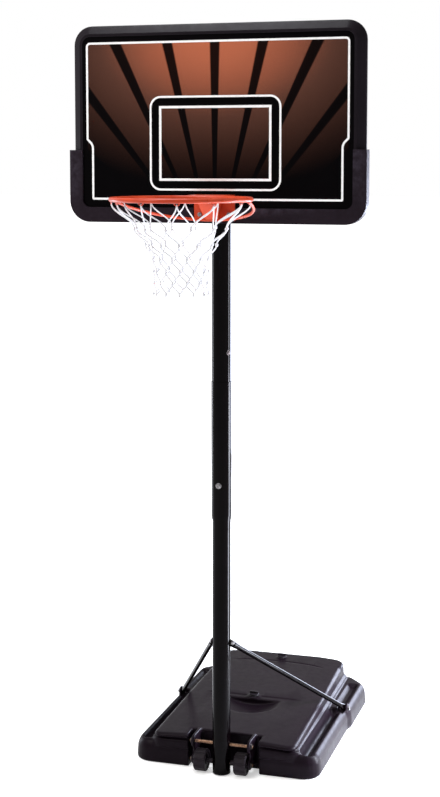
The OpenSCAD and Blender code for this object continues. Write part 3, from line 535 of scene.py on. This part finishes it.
@dataclass(frozen=True)
class BoardPrint:
    """Print of the panel: a warm glow from the top, straight dark rays over it and a black square frame."""

    name: str
    band: PaintedBox
    hole: PaintedBox
    edge_half: float
    edge_top: float
    warm: Colour = linear(190, 106, 76)
    brown: Colour = linear(86, 55, 45)
    black: Colour = linear(4, 3, 4)
    glow_top: float = 2.77
    glow_half: float = 0.5
    glow_drop: float = 0.33
    black_at: float = 0.06
    brown_at: float = 0.45
    dots: Patches = Patches(420.0, 1.0, 0.35, 0.65)
    dot_light: Pair = (0.8, 1.08)
    ray_root: float = 1.95
    ray_count: int = 14
    ray_edge: Pair = (0.09, 0.12)
    ray_light: float = 0.02
    gloss: Patches = Patches(25.0, 5.0, 0.2, 0.8)
    roughness: Pair = (0.26, 0.4)
    pebble: Grain = Grain(650.0, 0.00006, 0.3, 1.0)
    specular: float = 0.015

    def glow(self, graph: Graph, x: Socket, z: Socket) -> Socket:
        """Colour of the glow before the rays and the frame.

        Args:
            graph: Graph of the material.
            x: Distance from the middle of the board.
            z: Height.

        Returns:
            The colour.
        """
        aside = graph.calc("DIVIDE", x, self.glow_half)
        down = graph.calc("DIVIDE", graph.calc("SUBTRACT", z, self.glow_top), self.glow_drop)
        fade = graph.calc("EXPONENT", graph.calc("MULTIPLY", graph.square_sum(aside, down), -1.0))
        light = graph.calc("MULTIPLY", fade, graph.level(self.dots, *self.dot_light))
        return graph.ramp(light, [(self.black_at, self.black), (self.brown_at, self.brown), (1.0, self.warm)])

    def rays(self, graph: Graph, x: Socket, z: Socket) -> Socket:
        """Straight rays fanned about the middle of the board.

        Args:
            graph: Graph of the material.
            x: Distance from the middle of the board.
            z: Height.

        Returns:
            Share of light that passes between them.
        """
        angle = graph.calc("ARCTAN2", x, graph.calc("SUBTRACT", z, self.ray_root))
        wave = graph.calc("PINGPONG", graph.calc("MULTIPLY", angle, self.ray_count / math.pi), 0.5)
        return graph.span(wave, *self.ray_edge, self.ray_light, 1.0)

    def frame_share(self, graph: Graph, x: Socket, z: Socket) -> Socket:
        """Black frame between the rounded outer box and the inner one.

        Args:
            graph: Graph of the material.
            x: Distance from the middle of the board.
            z: Height.

        Returns:
            1 on the frame and 0 elsewhere.
        """
        r = self.band.corner_r
        far_x = graph.calc("SUBTRACT", graph.away(x), self.band.half - r)
        far_z = graph.calc("SUBTRACT", graph.away(z, self.band.middle), self.band.half_height - r)
        past = graph.square_sum(*(graph.calc("MAXIMUM", far, 0.0) for far in (far_x, far_z)))
        share_x = graph.calc("DIVIDE", graph.away(x), self.hole.half)
        share_z = graph.calc("DIVIDE", graph.away(z, self.hole.middle), self.hole.half_height)
        inner = graph.calc("LESS_THAN", graph.calc("MAXIMUM", share_x, share_z), 1.0)
        return graph.calc("SUBTRACT", graph.calc("LESS_THAN", past, r * r), inner)

    def material(self) -> Material:
        """Builds the material.

        Returns:
            The material.
        """
        graph = Graph(self.name)
        x, _, z = graph.split(graph.coords())
        lit = graph.mix(self.rays(graph, x, z), self.black, self.glow(graph, x, z))
        beside = graph.calc("GREATER_THAN", graph.away(x), self.edge_half)
        outside = graph.calc("MAXIMUM", beside, graph.calc("GREATER_THAN", z, self.edge_top))
        dark = graph.calc("MAXIMUM", self.frame_share(graph, x, z), outside)
        graph.set(Base_Color=graph.mix(dark, lit, self.black), Normal=graph.relief(self.pebble))
        graph.set(Roughness=graph.level(self.gloss, *self.roughness), Specular_IOR_Level=self.specular)
        return graph.material


EVEN_PEEL = Grain(420.0, 0.000008, 0.4, 1.0)
TANK = MouldedPlastic("tank_plastic", linear(18, 11, 17), linear(43, 38, 47), roughness=0.34, specular=0.037)
BLACK_PAINT = PowderCoat(
    "pole_paint", linear(4, 2, 3), linear(2, 1, 1), roughness=0.11, grain=EVEN_PEEL, specular=0.04)
ZINC = PlatedSteel("zinc", linear(132, 130, 132), linear(84, 82, 82))
ROD_STEEL = PlatedSteel("rod_steel", linear(112, 86, 68), linear(66, 50, 42), roughness=0.38)
NUT_STEEL = PlatedSteel("nut_steel", linear(58, 53, 52), linear(36, 32, 31), roughness=0.42)
WHEEL_PLASTIC = MouldedPlastic("wheel_plastic", linear(30, 25, 29), linear(56, 52, 56), specular=0.05)
SMALL_PLASTIC = MouldedPlastic(
    "plug_plastic", linear(26, 22, 26), linear(52, 48, 52), roughness=0.36, specular=0.08)
SEAL = SoftRubber("seal_rubber", linear(28, 28, 28), linear(50, 50, 50))
FRAME_PLASTIC = MouldedPlastic(
    "frame_plastic", linear(24, 19, 24), linear(52, 48, 56), roughness=0.36, specular=0.04)
GUARD_PLASTIC = MouldedPlastic(
    "guard_plastic", linear(32, 25, 31), linear(60, 54, 64), roughness=0.44, specular=0.03)
RIM_PAINT = PowderCoat("rim_paint", linear(194, 66, 33), linear(172, 53, 26), roughness=0.3, specular=0.2)
# The cord's second colour is the painted shade in the valleys of its weave.
CORD = BraidedCord("net_cord", linear(234, 234, 236), linear(164, 164, 170))
WHITE_INK = PrintInk("white_ink", linear(250, 250, 250), linear(238, 238, 238))


def turns(count: int) -> list[float]:
    """Angles of even steps round a circle."""
    return [math.tau * k / count for k in range(count)]


def shade_smooth(data: bpy.types.Mesh) -> None:
    """Shades all faces of a mesh smooth."""
    data.polygons.foreach_set("use_smooth", [True] * len(data.polygons))


def as_piece(name: str, mesh: BMesh, sharp: float = PLAIN_SHARP) -> Piece:
    """Makes an object of a mesh.

    Args:
        name: Name of the piece.
        mesh: The mesh, which is freed.
        sharp: Angle in degrees from which an edge stays hard.

    Returns:
        The new object, shaded smooth.
    """
    data = bpy.data.meshes.new(name)
    mesh.to_mesh(data)
    mesh.free()
    shade_smooth(data)
    data.set_sharp_from_angle(angle=math.radians(sharp))
    piece = bpy.data.objects.new(name, data)
    bpy.context.scene.collection.objects.link(piece)
    return piece


def welded_mesh(node: str) -> BMesh:
    """Copies the mesh of a CAD node.

    Args:
        node: Name of the CAD node.

    Returns:
        The mesh with its faces joined.
    """
    mesh = bmesh.new()
    mesh.from_mesh(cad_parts[node].data)
    bmesh.ops.remove_doubles(mesh, verts=mesh.verts, dist=WELD_DISTANCE)
    return mesh


def eased(node: str, edge: Edge) -> Piece:
    """Copy of a CAD node with eased edges that catch the light.

    Args:
        node: Name of the CAD node.
        edge: How its edges are eased.

    Returns:
        The new piece.
    """
    width, segments, bend = edge.value
    mesh = welded_mesh(node)
    bmesh.ops.dissolve_limit(mesh, angle_limit=FLAT_ANGLE, verts=mesh.verts, edges=mesh.edges)
    mesh.normal_update()
    paired = [line for line in mesh.edges if len(line.link_faces) == 2]
    sharp = [line for line in paired if line.calc_face_angle() > math.radians(bend)]
    bmesh.ops.bevel(mesh, geom=sharp, offset=width, offset_type="OFFSET", segments=segments, profile=0.5,
                    affect="EDGES", clamp_overlap=True)
    piece = as_piece(node + "_look", mesh, EASED_SHARP)
    piece.modifiers.new("flat_faces", "WEIGHTED_NORMAL").keep_sharp = True
    return piece


@dataclass(frozen=True)
class Dress:
    """Finish, body and record slot of a piece; the slot is not used."""

    finish: Material
    body: Body
    slot: str

    def put_on(self, piece: Piece, *nodes: str) -> None:
        """Dresses a piece and sets it on its body.

        Args:
            piece: The piece.
            *nodes: CAD nodes that it stands for.
        """
        piece.data.materials.clear()
        piece.data.materials.append(self.finish)
        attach(piece, self.body.value)
        if nodes:
            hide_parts(*nodes)
        LOG.info("%s: %d faces, on %s", piece.name, len(piece.data.polygons), self.body.value)

    def ease(self, edge: Edge, *nodes: str) -> None:
        """Dresses an eased copy of each CAD node, which then stands for it."""
        for node in nodes:
            self.put_on(eased(node, edge), node)


def sweep(mesh: BMesh, path: Sequence[Vector], radii: Sequence[float], sides: int,
          closed: bool = False) -> None:
    """Adds a round tube along a path, with UVs in metres along it and turns round it.

    Args:
        mesh: Mesh that takes the tube.
        path: Points of the centre line.
        radii: Radius at each point.
        sides: Sides of the tube.
        closed: Whether the path joins its own start.
    """
    count = len(path)
    tangents = []
    for i in range(count):
        before = path[(i - 1) % count] if closed or i > 0 else path[0]
        after = path[(i + 1) % count] if closed or i < count - 1 else path[-1]
        tangents.append((after - before).normalized())
    normal = tangents[0].orthogonal().normalized()
    rings = []
    for i in range(count):
        normal = (normal - tangents[i] * normal.dot(tangents[i])).normalized()
        across = tangents[i].cross(normal)
        spokes = [normal * math.cos(a) + across * math.sin(a) for a in turns(sides)]
        rings.append([mesh.verts.new(path[i] + spoke * radii[i]) for spoke in spokes])
    uv = mesh.loops.layers.uv.verify()
    along = 0.0
    for i in range(count if closed else count - 1):
        j = (i + 1) % count
        step = (path[j] - path[i]).length
        shift = 0
        if closed and j == 0:
            shift = min(range(sides), key=lambda s: (rings[j][s].co - rings[i][0].co).length)
        for k in range(sides):
            near = (rings[i][k], rings[i][(k + 1) % sides])
            far = (rings[j][(k + 1 + shift) % sides], rings[j][(k + shift) % sides])
            face = mesh.faces.new(near + far)
            spots = ((along, k), (along, k + 1), (along + step, k + 1), (along + step, k))
            for loop, (u, v) in zip(face.loops, spots):
                loop[uv].uv = (u, v / sides)
        along += step
    if not closed:
        mesh.faces.new(list(reversed(rings[0])))
        mesh.faces.new(rings[-1])


def rounded_corners(corners: Sequence[Corner], steps: int) -> list[Vector]:
    """Rounds the corners of a closed outline.

    Args:
        corners: Corners (x, z, radius) in order.
        steps: Steps round each corner.

    Returns:
        Points (x, z) of the outline.
    """
    points = []
    count = len(corners)
    for i, (x, z, r) in enumerate(corners):
        here = Vector((x, z))
        to_last = (Vector(corners[i - 1][:2]) - here).normalized()
        to_next = (Vector(corners[(i + 1) % count][:2]) - here).normalized()
        if r <= 0:
            points.append(here)
            continue
        half = to_last.angle(to_next) / 2
        centre = here + (to_last + to_next).normalized() * (r / math.sin(half))
        first = here + to_last * (r / math.tan(half)) - centre
        last = here + to_next * (r / math.tan(half)) - centre
        bend = math.pi - 2 * half
        for k in range(steps + 1):
            t = k / steps
            spoke = first * math.sin((1 - t) * bend) + last * math.sin(t * bend)
            points.append(centre + spoke / math.sin(bend))
    return points


def ribbon(mesh: BMesh, outline: Sequence[Vector], width: float, front: float, back: float) -> None:
    """Adds a flat closed line on a board in the XZ plane.

    Args:
        mesh: Mesh that takes the line.
        outline: Points (x, z) of the middle of the line.
        width: Width of the line.
        front: Y of its front face.
        back: Y of its back.
    """
    count = len(outline)
    loops = []
    for side in (-1, 1):
        for y in (front, back):
            ring = []
            for i, here in enumerate(outline):
                into = (here - outline[i - 1]).normalized()
                out = (outline[(i + 1) % count] - here).normalized()
                across = Vector((-(into.y + out.y), into.x + out.x)).normalized()
                reach = width / 2 / max(across.dot(Vector((-into.y, into.x))), LEAST_MITRE)
                spot = here + across * reach * side
                ring.append(mesh.verts.new((spot.x, y, spot.y)))
            loops.append(ring)
    for a, b in ((0, 2), (2, 3), (3, 1), (1, 0)):
        for i in range(count):
            j = (i + 1) % count
            mesh.faces.new((loops[a][i], loops[a][j], loops[b][j], loops[b][i]))
    bmesh.ops.recalc_face_normals(mesh, faces=mesh.faces)


@dataclass(frozen=True)
class Lamp:
    """Soft box: where it hangs, the point that it faces, its width and height, its watts and its colour."""

    name: str
    place: Place
    aim: Place
    size: Pair
    power: float
    colour: Colour

    def hang(self) -> None:
        """Hangs the box in the studio."""
        data = bpy.data.lights.new(self.name, "AREA")
        data.shape = "RECTANGLE"
        data.size, data.size_y = self.size
        data.energy = self.power
        data.color = self.colour
        light = bpy.data.objects.new(self.name, data)
        light.location = self.place
        light.rotation_euler = (Vector(self.aim) - Vector(self.place)).to_track_quat("-Z", "Y").to_euler()
        bpy.context.scene.collection.objects.link(light)


LAMPS = (
    Lamp("key", (-3.2, -4.6, 5.2), (0, -0.6, 1.4), (2.6, 2.6), 220, (1.0, 0.97, 0.94)),
    Lamp("right_strip", (3.7, 1.1, 1.1), (0, -0.45, 1.1), (0.65, 1.5), 190, (0.84, 0.88, 1.0)),
    Lamp("right_low", (1.24, 0.05, 0.68), (0, -0.45, 0.6), (0.28, 1.3), 96, (0.84, 0.88, 1.0)),
    Lamp("rear", (2.3, 4.6, 1.1), (0.25, 0.0, 0.1), (2.4, 2.0), 400, (0.74, 0.8, 1.0)),
    Lamp("left_strip", (-4.0, 0.7, 0.98), (0, -0.45, 0.98), (0.5, 1.9), 85, (0.86, 0.9, 1.0)),
    Lamp("top", (-0.9, -0.35, 6.0), (0, -0.5, 2.0), (1.4, 1.4), 170, (0.94, 0.96, 1.0)),
)


@dataclass
class Studio:
    """Floor, light and camera."""

    camera_place: Vector = Vector((1.619, -5.827, 2.316))
    camera_ahead: Vector = Vector((-0.2893, 0.9527, -0.0932))
    lens: float = 45.67
    sensor: float = 24.0
    shift_x: float = -0.0020
    shift_y: float = -0.120
    far: float = 200.0
    floor_half: float = 90.0
    floor_cells: int = 8
    floor_patches: Patches = Patches(1.5)
    floor_grey: Colour = (0.9, 0.9, 0.9)
    floor_pale: Colour = (0.92, 0.92, 0.92)
    lit_r: float = 1.2
    white_r: float = 4.5
    near_glow: float = 0.45
    white: Colour = (1.0, 1.0, 1.0)
    round_light: float = 0.42
    lamps: Sequence[Lamp] = LAMPS

    def set_camera(self) -> None:
        """Puts a camera where the photograph was taken from."""
        data = bpy.data.cameras.new("camera")
        data.sensor_fit = "VERTICAL"
        data.sensor_height = self.sensor
        data.lens = self.lens
        data.shift_x = self.shift_x
        data.shift_y = self.shift_y
        data.clip_end = self.far
        camera = bpy.data.objects.new("camera", data)
        camera.location = self.camera_place
        camera.rotation_euler = self.camera_ahead.to_track_quat("-Z", "Y").to_euler()
        bpy.context.scene.collection.objects.link(camera)
        bpy.context.scene.camera = camera

    def lay_floor(self) -> None:
        """Lays a pale floor that keeps the shadow and fades into the white behind it."""
        mesh = bmesh.new()
        cells = self.floor_cells
        bmesh.ops.create_grid(mesh, x_segments=cells, y_segments=cells, size=self.floor_half)
        floor = as_piece("floor", mesh)
        graph = Graph("floor")
        diffuse = graph.add("ShaderNodeBsdfDiffuse")
        graph.feed(diffuse.inputs["Color"], graph.tone(self.floor_patches, self.floor_grey, self.floor_pale))
        across, along, _ = graph.split(graph.coords())
        distance = graph.calc("SQRT", graph.square_sum(across, along))
        fill = graph.span(distance, self.lit_r, self.white_r, self.near_glow, 1.0)
        glow = graph.add("ShaderNodeEmission")
        graph.feed(glow.inputs["Strength"], graph.calc("MULTIPLY", graph.seen(), fill))
        both = graph.add("ShaderNodeAddShader")
        graph.feed(both.inputs[0], diffuse.outputs[0])
        graph.feed(both.inputs[1], glow.outputs[0])
        graph.feed(graph.tree.nodes["Material Output"].inputs["Surface"], both.outputs[0])
        floor.data.materials.append(graph.material)

    def set_world(self) -> None:
        """Puts white behind the object and an even grey light round it."""
        world = bpy.data.worlds.new("studio")
        world.use_nodes = True
        bpy.context.scene.world = world
        nodes = Nodes(world.node_tree)
        background = world.node_tree.nodes["Background"]
        nodes.feed(background.inputs["Color"], self.white)
        nodes.feed(background.inputs["Strength"], nodes.span(nodes.seen(), 0.0, 1.0, self.round_light, 1.0))

    def build(self) -> None:
        """Sets up the whole studio."""
        self.set_camera()
        self.lay_floor()
        self.set_world()
        for lamp in self.lamps:
            lamp.hang()
        bpy.context.scene.view_settings.view_transform = "Standard"


@dataclass(frozen=True)
class DeckCreases:
    """Shallow lines that the mould presses into the deck of the tank."""

    front_y: float = -0.488
    front_z: float = 0.131
    slope: float = 0.0333
    skin: float = 0.003
    reach_z: float = 0.045
    crown_half: float = 0.155
    crown_fall: float = 0.06
    deck_half: float = 0.285
    deck_edge: float = 0.02
    step_y: float = -0.035
    step_h: float = 0.0025
    step_half_w: float = 0.004
    hollow_from: float = -0.3
    hollow_to: float = -0.1
    arc_y: float = 0.366
    arc_r: float = 0.75
    arc_depth: float = 0.002
    arc_half_w: float = 0.009
    fade_from: float = 0.16
    fade_to: float = 0.21
    plug_y: float = -0.039
    plug_from: float = 0.024
    plug_to: float = 0.036

    @staticmethod
    def ramp(value: float, low: float, high: float) -> float:
        """Soft share from 0 at the low end to 1 at the high end."""
        share = min(max((value - low) / (high - low), 0.0), 1.0)
        return share * share * (3 - 2 * share)

    def depth(self, x: float, y: float) -> float:
        """How far the deck is pressed down at a place.

        Args:
            x: Place across the deck.
            y: Place along the deck.

        Returns:
            The depth in metres.
        """
        aside = abs(x)
        low, high = self.step_y - self.step_half_w, self.step_y + self.step_half_w
        step = self.step_h * (1 - self.ramp(y, low, high))
        step *= self.ramp(y, self.hollow_from, self.hollow_to)
        step *= self.ramp(math.hypot(x, y - self.plug_y), self.plug_from, self.plug_to)
        off_arc = abs(math.hypot(x, y - self.arc_y + self.arc_r) - self.arc_r)
        groove = self.arc_depth * (1 - self.ramp(off_arc, 0.0, self.arc_half_w))
        crown = self.crown_fall * max(aside - self.crown_half, 0.0)
        crown *= 1 - self.ramp(aside, self.deck_half, self.deck_half + self.deck_edge)
        return crown + (step + groove) * (1 - self.ramp(aside, self.fade_from, self.fade_to))

    def press(self, data: bpy.types.Mesh) -> None:
        """Presses the lines into a mesh of the tank.

        Args:
            data: Mesh whose corners move down.
        """
        for corner in data.vertices:
            x, y, z = corner.co
            deck_z = self.front_z + self.slope * (y - self.front_y)
            near = self.ramp(z, deck_z - self.reach_z, deck_z - self.skin)
            if near > 0:
                corner.co.z -= near * self.depth(x, y)


@dataclass
class BallastBase:
    """Moulded tank with its plugs."""

    creases: DeckCreases = DeckCreases()
    voxel: float = 0.0032
    soften: float = 0.5
    soften_rounds: int = 14
    kept_share: float = 0.22
    seals: Sequence[str] = ("front_plug_seal", "rear_plug_seal")
    cover_r: float = 0.0165
    cover_drop: float = 0.003
    cover_sides: int = 16
    ray_count: int = 96
    ray_rise: float = 0.03
    ray_lift: float = 1e-5
    corner_share: float = 0.85

    def covers(self) -> BVHTree:
        """Closes the filling holes with discs just inside them, as the plugs do.

        Returns:
            The discs, for rays to meet.
        """
        mesh = bmesh.new()
        r = self.cover_r
        for node in self.seals:
            spots = [corner.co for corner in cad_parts[node].data.vertices]
            middle = sum(spots, Vector()) / len(spots)
            z = min(spot.z for spot in spots) - self.cover_drop
            rim = [(r * math.cos(a), middle.y + r * math.sin(a), z) for a in turns(self.cover_sides)]
            mesh.faces.new([mesh.verts.new(spot) for spot in rim])
        tree = BVHTree.FromBMesh(mesh)
        mesh.free()
        return tree

    def all_ways(self) -> list[Vector]:
        """Spreads directions evenly over a ball.

        Returns:
            The directions.
        """
        golden = math.pi * (3 - math.sqrt(5))
        ways = []
        for k in range(self.ray_count):
            z = 1 - 2 * (k + 0.5) / self.ray_count
            flat = math.sqrt(1 - z * z)
            ways.append(Vector((flat * math.cos(golden * k), flat * math.sin(golden * k), z)))
        return ways

    def outer_skin(self, mesh: BMesh) -> None:
        """Deletes the faces of the cavity and closes what that opens.

        Args:
            mesh: Mesh of the tank, whose cavity joins its outside only at the filling holes.
        """
        trees = (BVHTree.FromBMesh(mesh), self.covers())
        ways = self.all_ways()
        hidden = []
        for face in mesh.faces:
            middle = face.calc_center_median()
            spots = [middle] + [middle.lerp(v.co, self.corner_share) for v in face.verts]
            starts = [spot + face.normal * self.ray_lift for spot in spots]
            ahead = [way for way in ways if way.dot(face.normal) > self.ray_rise]
            if not any(self.escapes(trees, start, way) for start in starts for way in ahead):
                hidden.append(face)
        bmesh.ops.delete(mesh, geom=hidden, context="FACES")
        bmesh.ops.holes_fill(mesh, edges=[line for line in mesh.edges if line.is_boundary], sides=0)

    @staticmethod
    def escapes(trees: Sequence[BVHTree], start: Vector, way: Vector) -> bool:
        """Whether a ray meets none of the meshes."""
        return all(tree.ray_cast(start, way)[0] is None for tree in trees)

    @staticmethod
    def settle(piece: Piece) -> None:
        """Turns the modifiers of a piece into its mesh.

        Args:
            piece: The piece.
        """
        view = bpy.context.evaluated_depsgraph_get()
        data = bpy.data.meshes.new_from_object(piece.evaluated_get(view))
        piece.modifiers.clear()
        piece.data = data

    def shell(self) -> Piece:
        """Makes the tank with the soft round edges of blow moulding.

        Returns:
            The tank.
        """
        mesh = welded_mesh("base_tank")
        mesh.normal_update()
        self.outer_skin(mesh)
        tank = as_piece("base_shell", mesh)
        remesh = tank.modifiers.new("mould", "REMESH")
        remesh.mode = "VOXEL"
        remesh.voxel_size = self.voxel
        smooth = tank.modifiers.new("soften", "SMOOTH")
        smooth.factor = self.soften
        smooth.iterations = self.soften_rounds
        self.settle(tank)
        self.creases.press(tank.data)
        tank.modifiers.new("thin", "DECIMATE").ratio = self.kept_share
        self.settle(tank)
        shade_smooth(tank.data)
        return tank

    def build(self) -> None:
        """Makes the tank and its plugs."""
        Dress(TANK.material(), Body.BASE, "tank_plastic").put_on(self.shell(), "base_tank")
        plug = SMALL_PLASTIC.material()
        seal = SEAL.material()
        for side, body in (("front", Body.FRONT_CAP), ("rear", Body.REAR_CAP)):
            Dress(plug, body, "plug_plastic").ease(Edge.ROUND, f"{side}_plug")
            Dress(seal, body, "seal_rubber").ease(Edge.SEAL, f"{side}_plug_seal")


@dataclass
class WheelSet:
    """Wheels, axle and the rod that holds the pole."""

    rods: Sequence[str] = ("pole_rod", "wheel_axle")
    nuts: Sequence[str] = ("rod_push_nuts", "axle_push_nuts")

    def build(self) -> None:
        """Makes the wheels and their rods."""
        plastic = WHEEL_PLASTIC.material()
        Dress(plastic, Body.LEFT_WHEEL, "wheel_plastic").ease(Edge.WHEEL, "wheel_left")
        Dress(plastic, Body.RIGHT_WHEEL, "wheel_plastic").ease(Edge.WHEEL, "wheel_right")
        Dress(plastic, Body.BASE, "wheel_plastic").ease(Edge.SMALL, "axle_spacers")
        Dress(ROD_STEEL.material(), Body.BASE, "zinc").ease(Edge.SMALL, *self.rods)
        Dress(NUT_STEEL.material(), Body.BASE, "zinc").ease(Edge.SMALL, *self.nuts)


@dataclass
class PoleSet:
    """Poles, sleeve, struts and their small hardware."""

    painted_base: Sequence[str] = ("bottom_pole", "middle_pole", "strut_left", "strut_right")
    painted_upper: Sequence[str] = ("pole_sleeve", "sleeve_rivets", "top_pole")
    zinc_base: Sequence[str] = ("strut_pole_bolt", "strut_pole_nut", "strut_base_bolts", "strut_base_nuts")
    zinc_upper: Sequence[str] = ("height_bolt", "height_nut")

    def build(self) -> None:
        """Makes the poles and what joins them."""
        paint = BLACK_PAINT.material()
        zinc = ZINC.material()
        plastic = SMALL_PLASTIC.material()
        Dress(paint, Body.BASE, "pole_paint").ease(Edge.FINE, *self.painted_base)
        Dress(paint, Body.UPPER, "pole_paint").ease(Edge.FINE, *self.painted_upper)
        Dress(zinc, Body.BASE, "zinc").ease(Edge.FINE, *self.zinc_base)
        Dress(zinc, Body.UPPER, "zinc").ease(Edge.FINE, *self.zinc_upper)
        Dress(NUT_STEEL.material(), Body.UPPER, "zinc").ease(Edge.FINE, "pole_button")
        Dress(plastic, Body.BASE, "plug_plastic").ease(Edge.BLUNT, "pole_foot")
        Dress(plastic, Body.UPPER, "plug_plastic").ease(Edge.BLUNT, "top_cap", "sleeve_bush")


@dataclass
class Board:
    """Printed panel in its moulded frame, with the guard round its lower edge."""

    face: float = -0.581
    lift: float = 0.0004
    border: Sequence[Corner] = (
        (-0.470, 2.177, 0.003), (0.470, 2.177, 0.003), (0.470, 2.375, 0.034), (0.491, 2.395, 0.004),
        (0.491, 2.744, 0.012), (-0.491, 2.744, 0.012), (-0.491, 2.395, 0.004), (-0.470, 2.375, 0.034))
    border_w: float = 0.0075
    border_steps: int = 6
    outer: PaintedBox = PaintedBox(half=0.244, low=2.212, high=2.547, corner_r=0.038, line_w=0.0072)
    inner: PaintedBox = PaintedBox(half=0.207, low=2.248, high=2.510, corner_r=0.0, line_w=0.0088)
    box_steps: int = 10
    mounts: Sequence[str] = ("lower_mount", "upper_mount")
    steel: Sequence[str] = ("mount_bolts", "mount_nuts", "board_screws")

    def print_finish(self) -> BoardPrint:
        """Sets the print between the painted lines.

        Returns:
            The finish of the panel.
        """
        edge_half = max(x for x, _, _ in self.border)
        edge_top = max(z for _, z, _ in self.border)
        return BoardPrint("board_print", self.outer, self.inner, edge_half, edge_top)

    def lines(self) -> Piece:
        """Paints the white border, the rounded box and the inner one.

        Returns:
            The lines.
        """
        mesh = bmesh.new()
        front = self.face - self.lift
        ribbon(mesh, rounded_corners(self.border, self.border_steps), self.border_w, front, self.face)
        for box in (self.outer, self.inner):
            ribbon(mesh, rounded_corners(box.corners(), self.box_steps), box.line_w, front, self.face)
        return as_piece("board_lines", mesh)

    def build(self) -> None:
        """Makes the board and its mounts."""
        Dress(self.print_finish().material(), Body.UPPER, "board_print").ease(Edge.FINE, "board_panel")
        Dress(WHITE_INK.material(), Body.UPPER, "board_print").put_on(self.lines())
        Dress(FRAME_PLASTIC.material(), Body.UPPER, "frame_plastic").ease(Edge.SOFT, "board_frame")
        Dress(GUARD_PLASTIC.material(), Body.UPPER, "pad_plastic").ease(Edge.GUARD, "edge_pad")
        Dress(BLACK_PAINT.material(), Body.UPPER, "pole_paint").ease(Edge.BLUNT, *self.mounts)
        Dress(ZINC.material(), Body.UPPER, "zinc").ease(Edge.FINE, *self.steel)


@dataclass
class Rim:
    """Ring, bracket and brace with the hooks for the net."""

    centre: Vector = Vector((0, -0.966, 2.187))
    radius: float = 0.2366
    rod: float = 0.008
    ring_steps: int = 160
    rod_sides: int = 24
    steel: Sequence[str] = ("rim_bolts", "rim_nuts")

    def ring(self) -> Piece:
        """Bends the ring from round rod.

        Returns:
            The ring.
        """
        mesh = bmesh.new()
        spokes = [Vector((math.cos(a), math.sin(a), 0)) for a in turns(self.ring_steps)]
        path = [self.centre + spoke * self.radius for spoke in spokes]
        sweep(mesh, path, [self.rod] * len(path), self.rod_sides, closed=True)
        return as_piece("rim_ring_look", mesh, ROUND_SHARP)

    def build(self) -> None:
        """Makes the rim and its bolts."""
        orange = Dress(RIM_PAINT.material(), Body.UPPER, "rim_paint")
        orange.put_on(self.ring(), "rim_ring")
        orange.ease(Edge.ROUND, "rim_bracket")
        orange.ease(Edge.BRACE, "rim_brace")
        orange.ease(Edge.HOOK, "net_hooks")
        Dress(ZINC.material(), Body.UPPER, "zinc").ease(Edge.FINE, *self.steel)


@dataclass
class Net:
    """Knotted cord net that hangs from the hooks."""

    centre_y: float = -0.966
    loops: int = 12
    rows: int = 6
    top: float = 2.17506
    bottom: float = 1.869
    mouth: float = 0.2366
    neck: float = 0.092
    neck_share: float = 0.66
    neck_power: float = 1.35
    row_power: float = 0.7
    steep: float = 0.42
    steps: int = 14
    cord: float = 0.0024
    cord_sides: int = 8
    knot_sides: int = 10
    knot_shape: Sequence[Pair] = (
        (0.006, 0.0022), (0.0048, 0.0042), (0.0016, 0.0052),
        (-0.0016, 0.0052), (-0.0048, 0.0042), (-0.006, 0.0022))

    def radius(self, share: float) -> float:
        """Radius of the funnel at a share of the way down."""
        narrowed = (1 - min(share / self.neck_share, 1)) ** self.neck_power
        return self.neck + (self.mouth - self.neck) * narrowed

    def knot(self, row: int, index: float) -> Vector:
        """Finds the place of a knot.

        Args:
            row: Row, from 0 at the hooks.
            index: Number of the knot round its row.

        Returns:
            The place.
        """
        share = (row / self.rows) ** self.row_power
        angle = (index + (row % 2) / 2 + 0.5) * math.tau / self.loops
        r = self.radius(share)
        z = self.top + (self.bottom - self.top) * share
        return Vector((r * math.cos(angle), self.centre_y + r * math.sin(angle), z))

    def strand(self, start: Vector, end: Vector) -> list[Vector]:
        """Lays a cord that leaves and enters its knots steeply.

        Args:
            start: Upper knot.
            end: Lower knot.

        Returns:
            Points of the cord.
        """
        drop = Vector((0, 0, (end.z - start.z) * self.steep))
        points = []
        for i in range(self.steps + 1):
            t = i / self.steps
            a, b, c, d = (1 - t) ** 3, 3 * t * (1 - t) ** 2, 3 * t * t * (1 - t), t ** 3
            points.append(start * a + (start + drop) * b + (end - drop) * c + end * d)
        return points

    def build(self) -> None:
        """Ties the net."""
        mesh = bmesh.new()
        knots = [(row, index) for row in range(1, self.rows + 1) for index in range(self.loops)]
        for row, index in knots:
            right = index + row % 2
            for above in (right, right - 1):
                path = self.strand(self.knot(row - 1, above), self.knot(row, index))
                sweep(mesh, path, [self.cord] * len(path), self.cord_sides)
        for row, index in knots:
            middle = self.knot(row, index)
            path = [middle + Vector((0, 0, z)) for z, _ in self.knot_shape]
            sweep(mesh, path, [r for _, r in self.knot_shape], self.knot_sides)
        Dress(CORD.material(), Body.UPPER, "net_cord").put_on(as_piece("net_cords", mesh, ROUND_SHARP), "net")


def main() -> None:
    """Builds the hoop in order."""
    logging.basicConfig(level=logging.INFO, format="%(name)s: %(message)s")
    Studio().build()
    for part in (BallastBase(), WheelSet(), PoleSet(), Board(), Rim(), Net()):
        LOG.info("building %s", type(part).__name__)
        part.build()


if __name__ == "__main__":
    main()
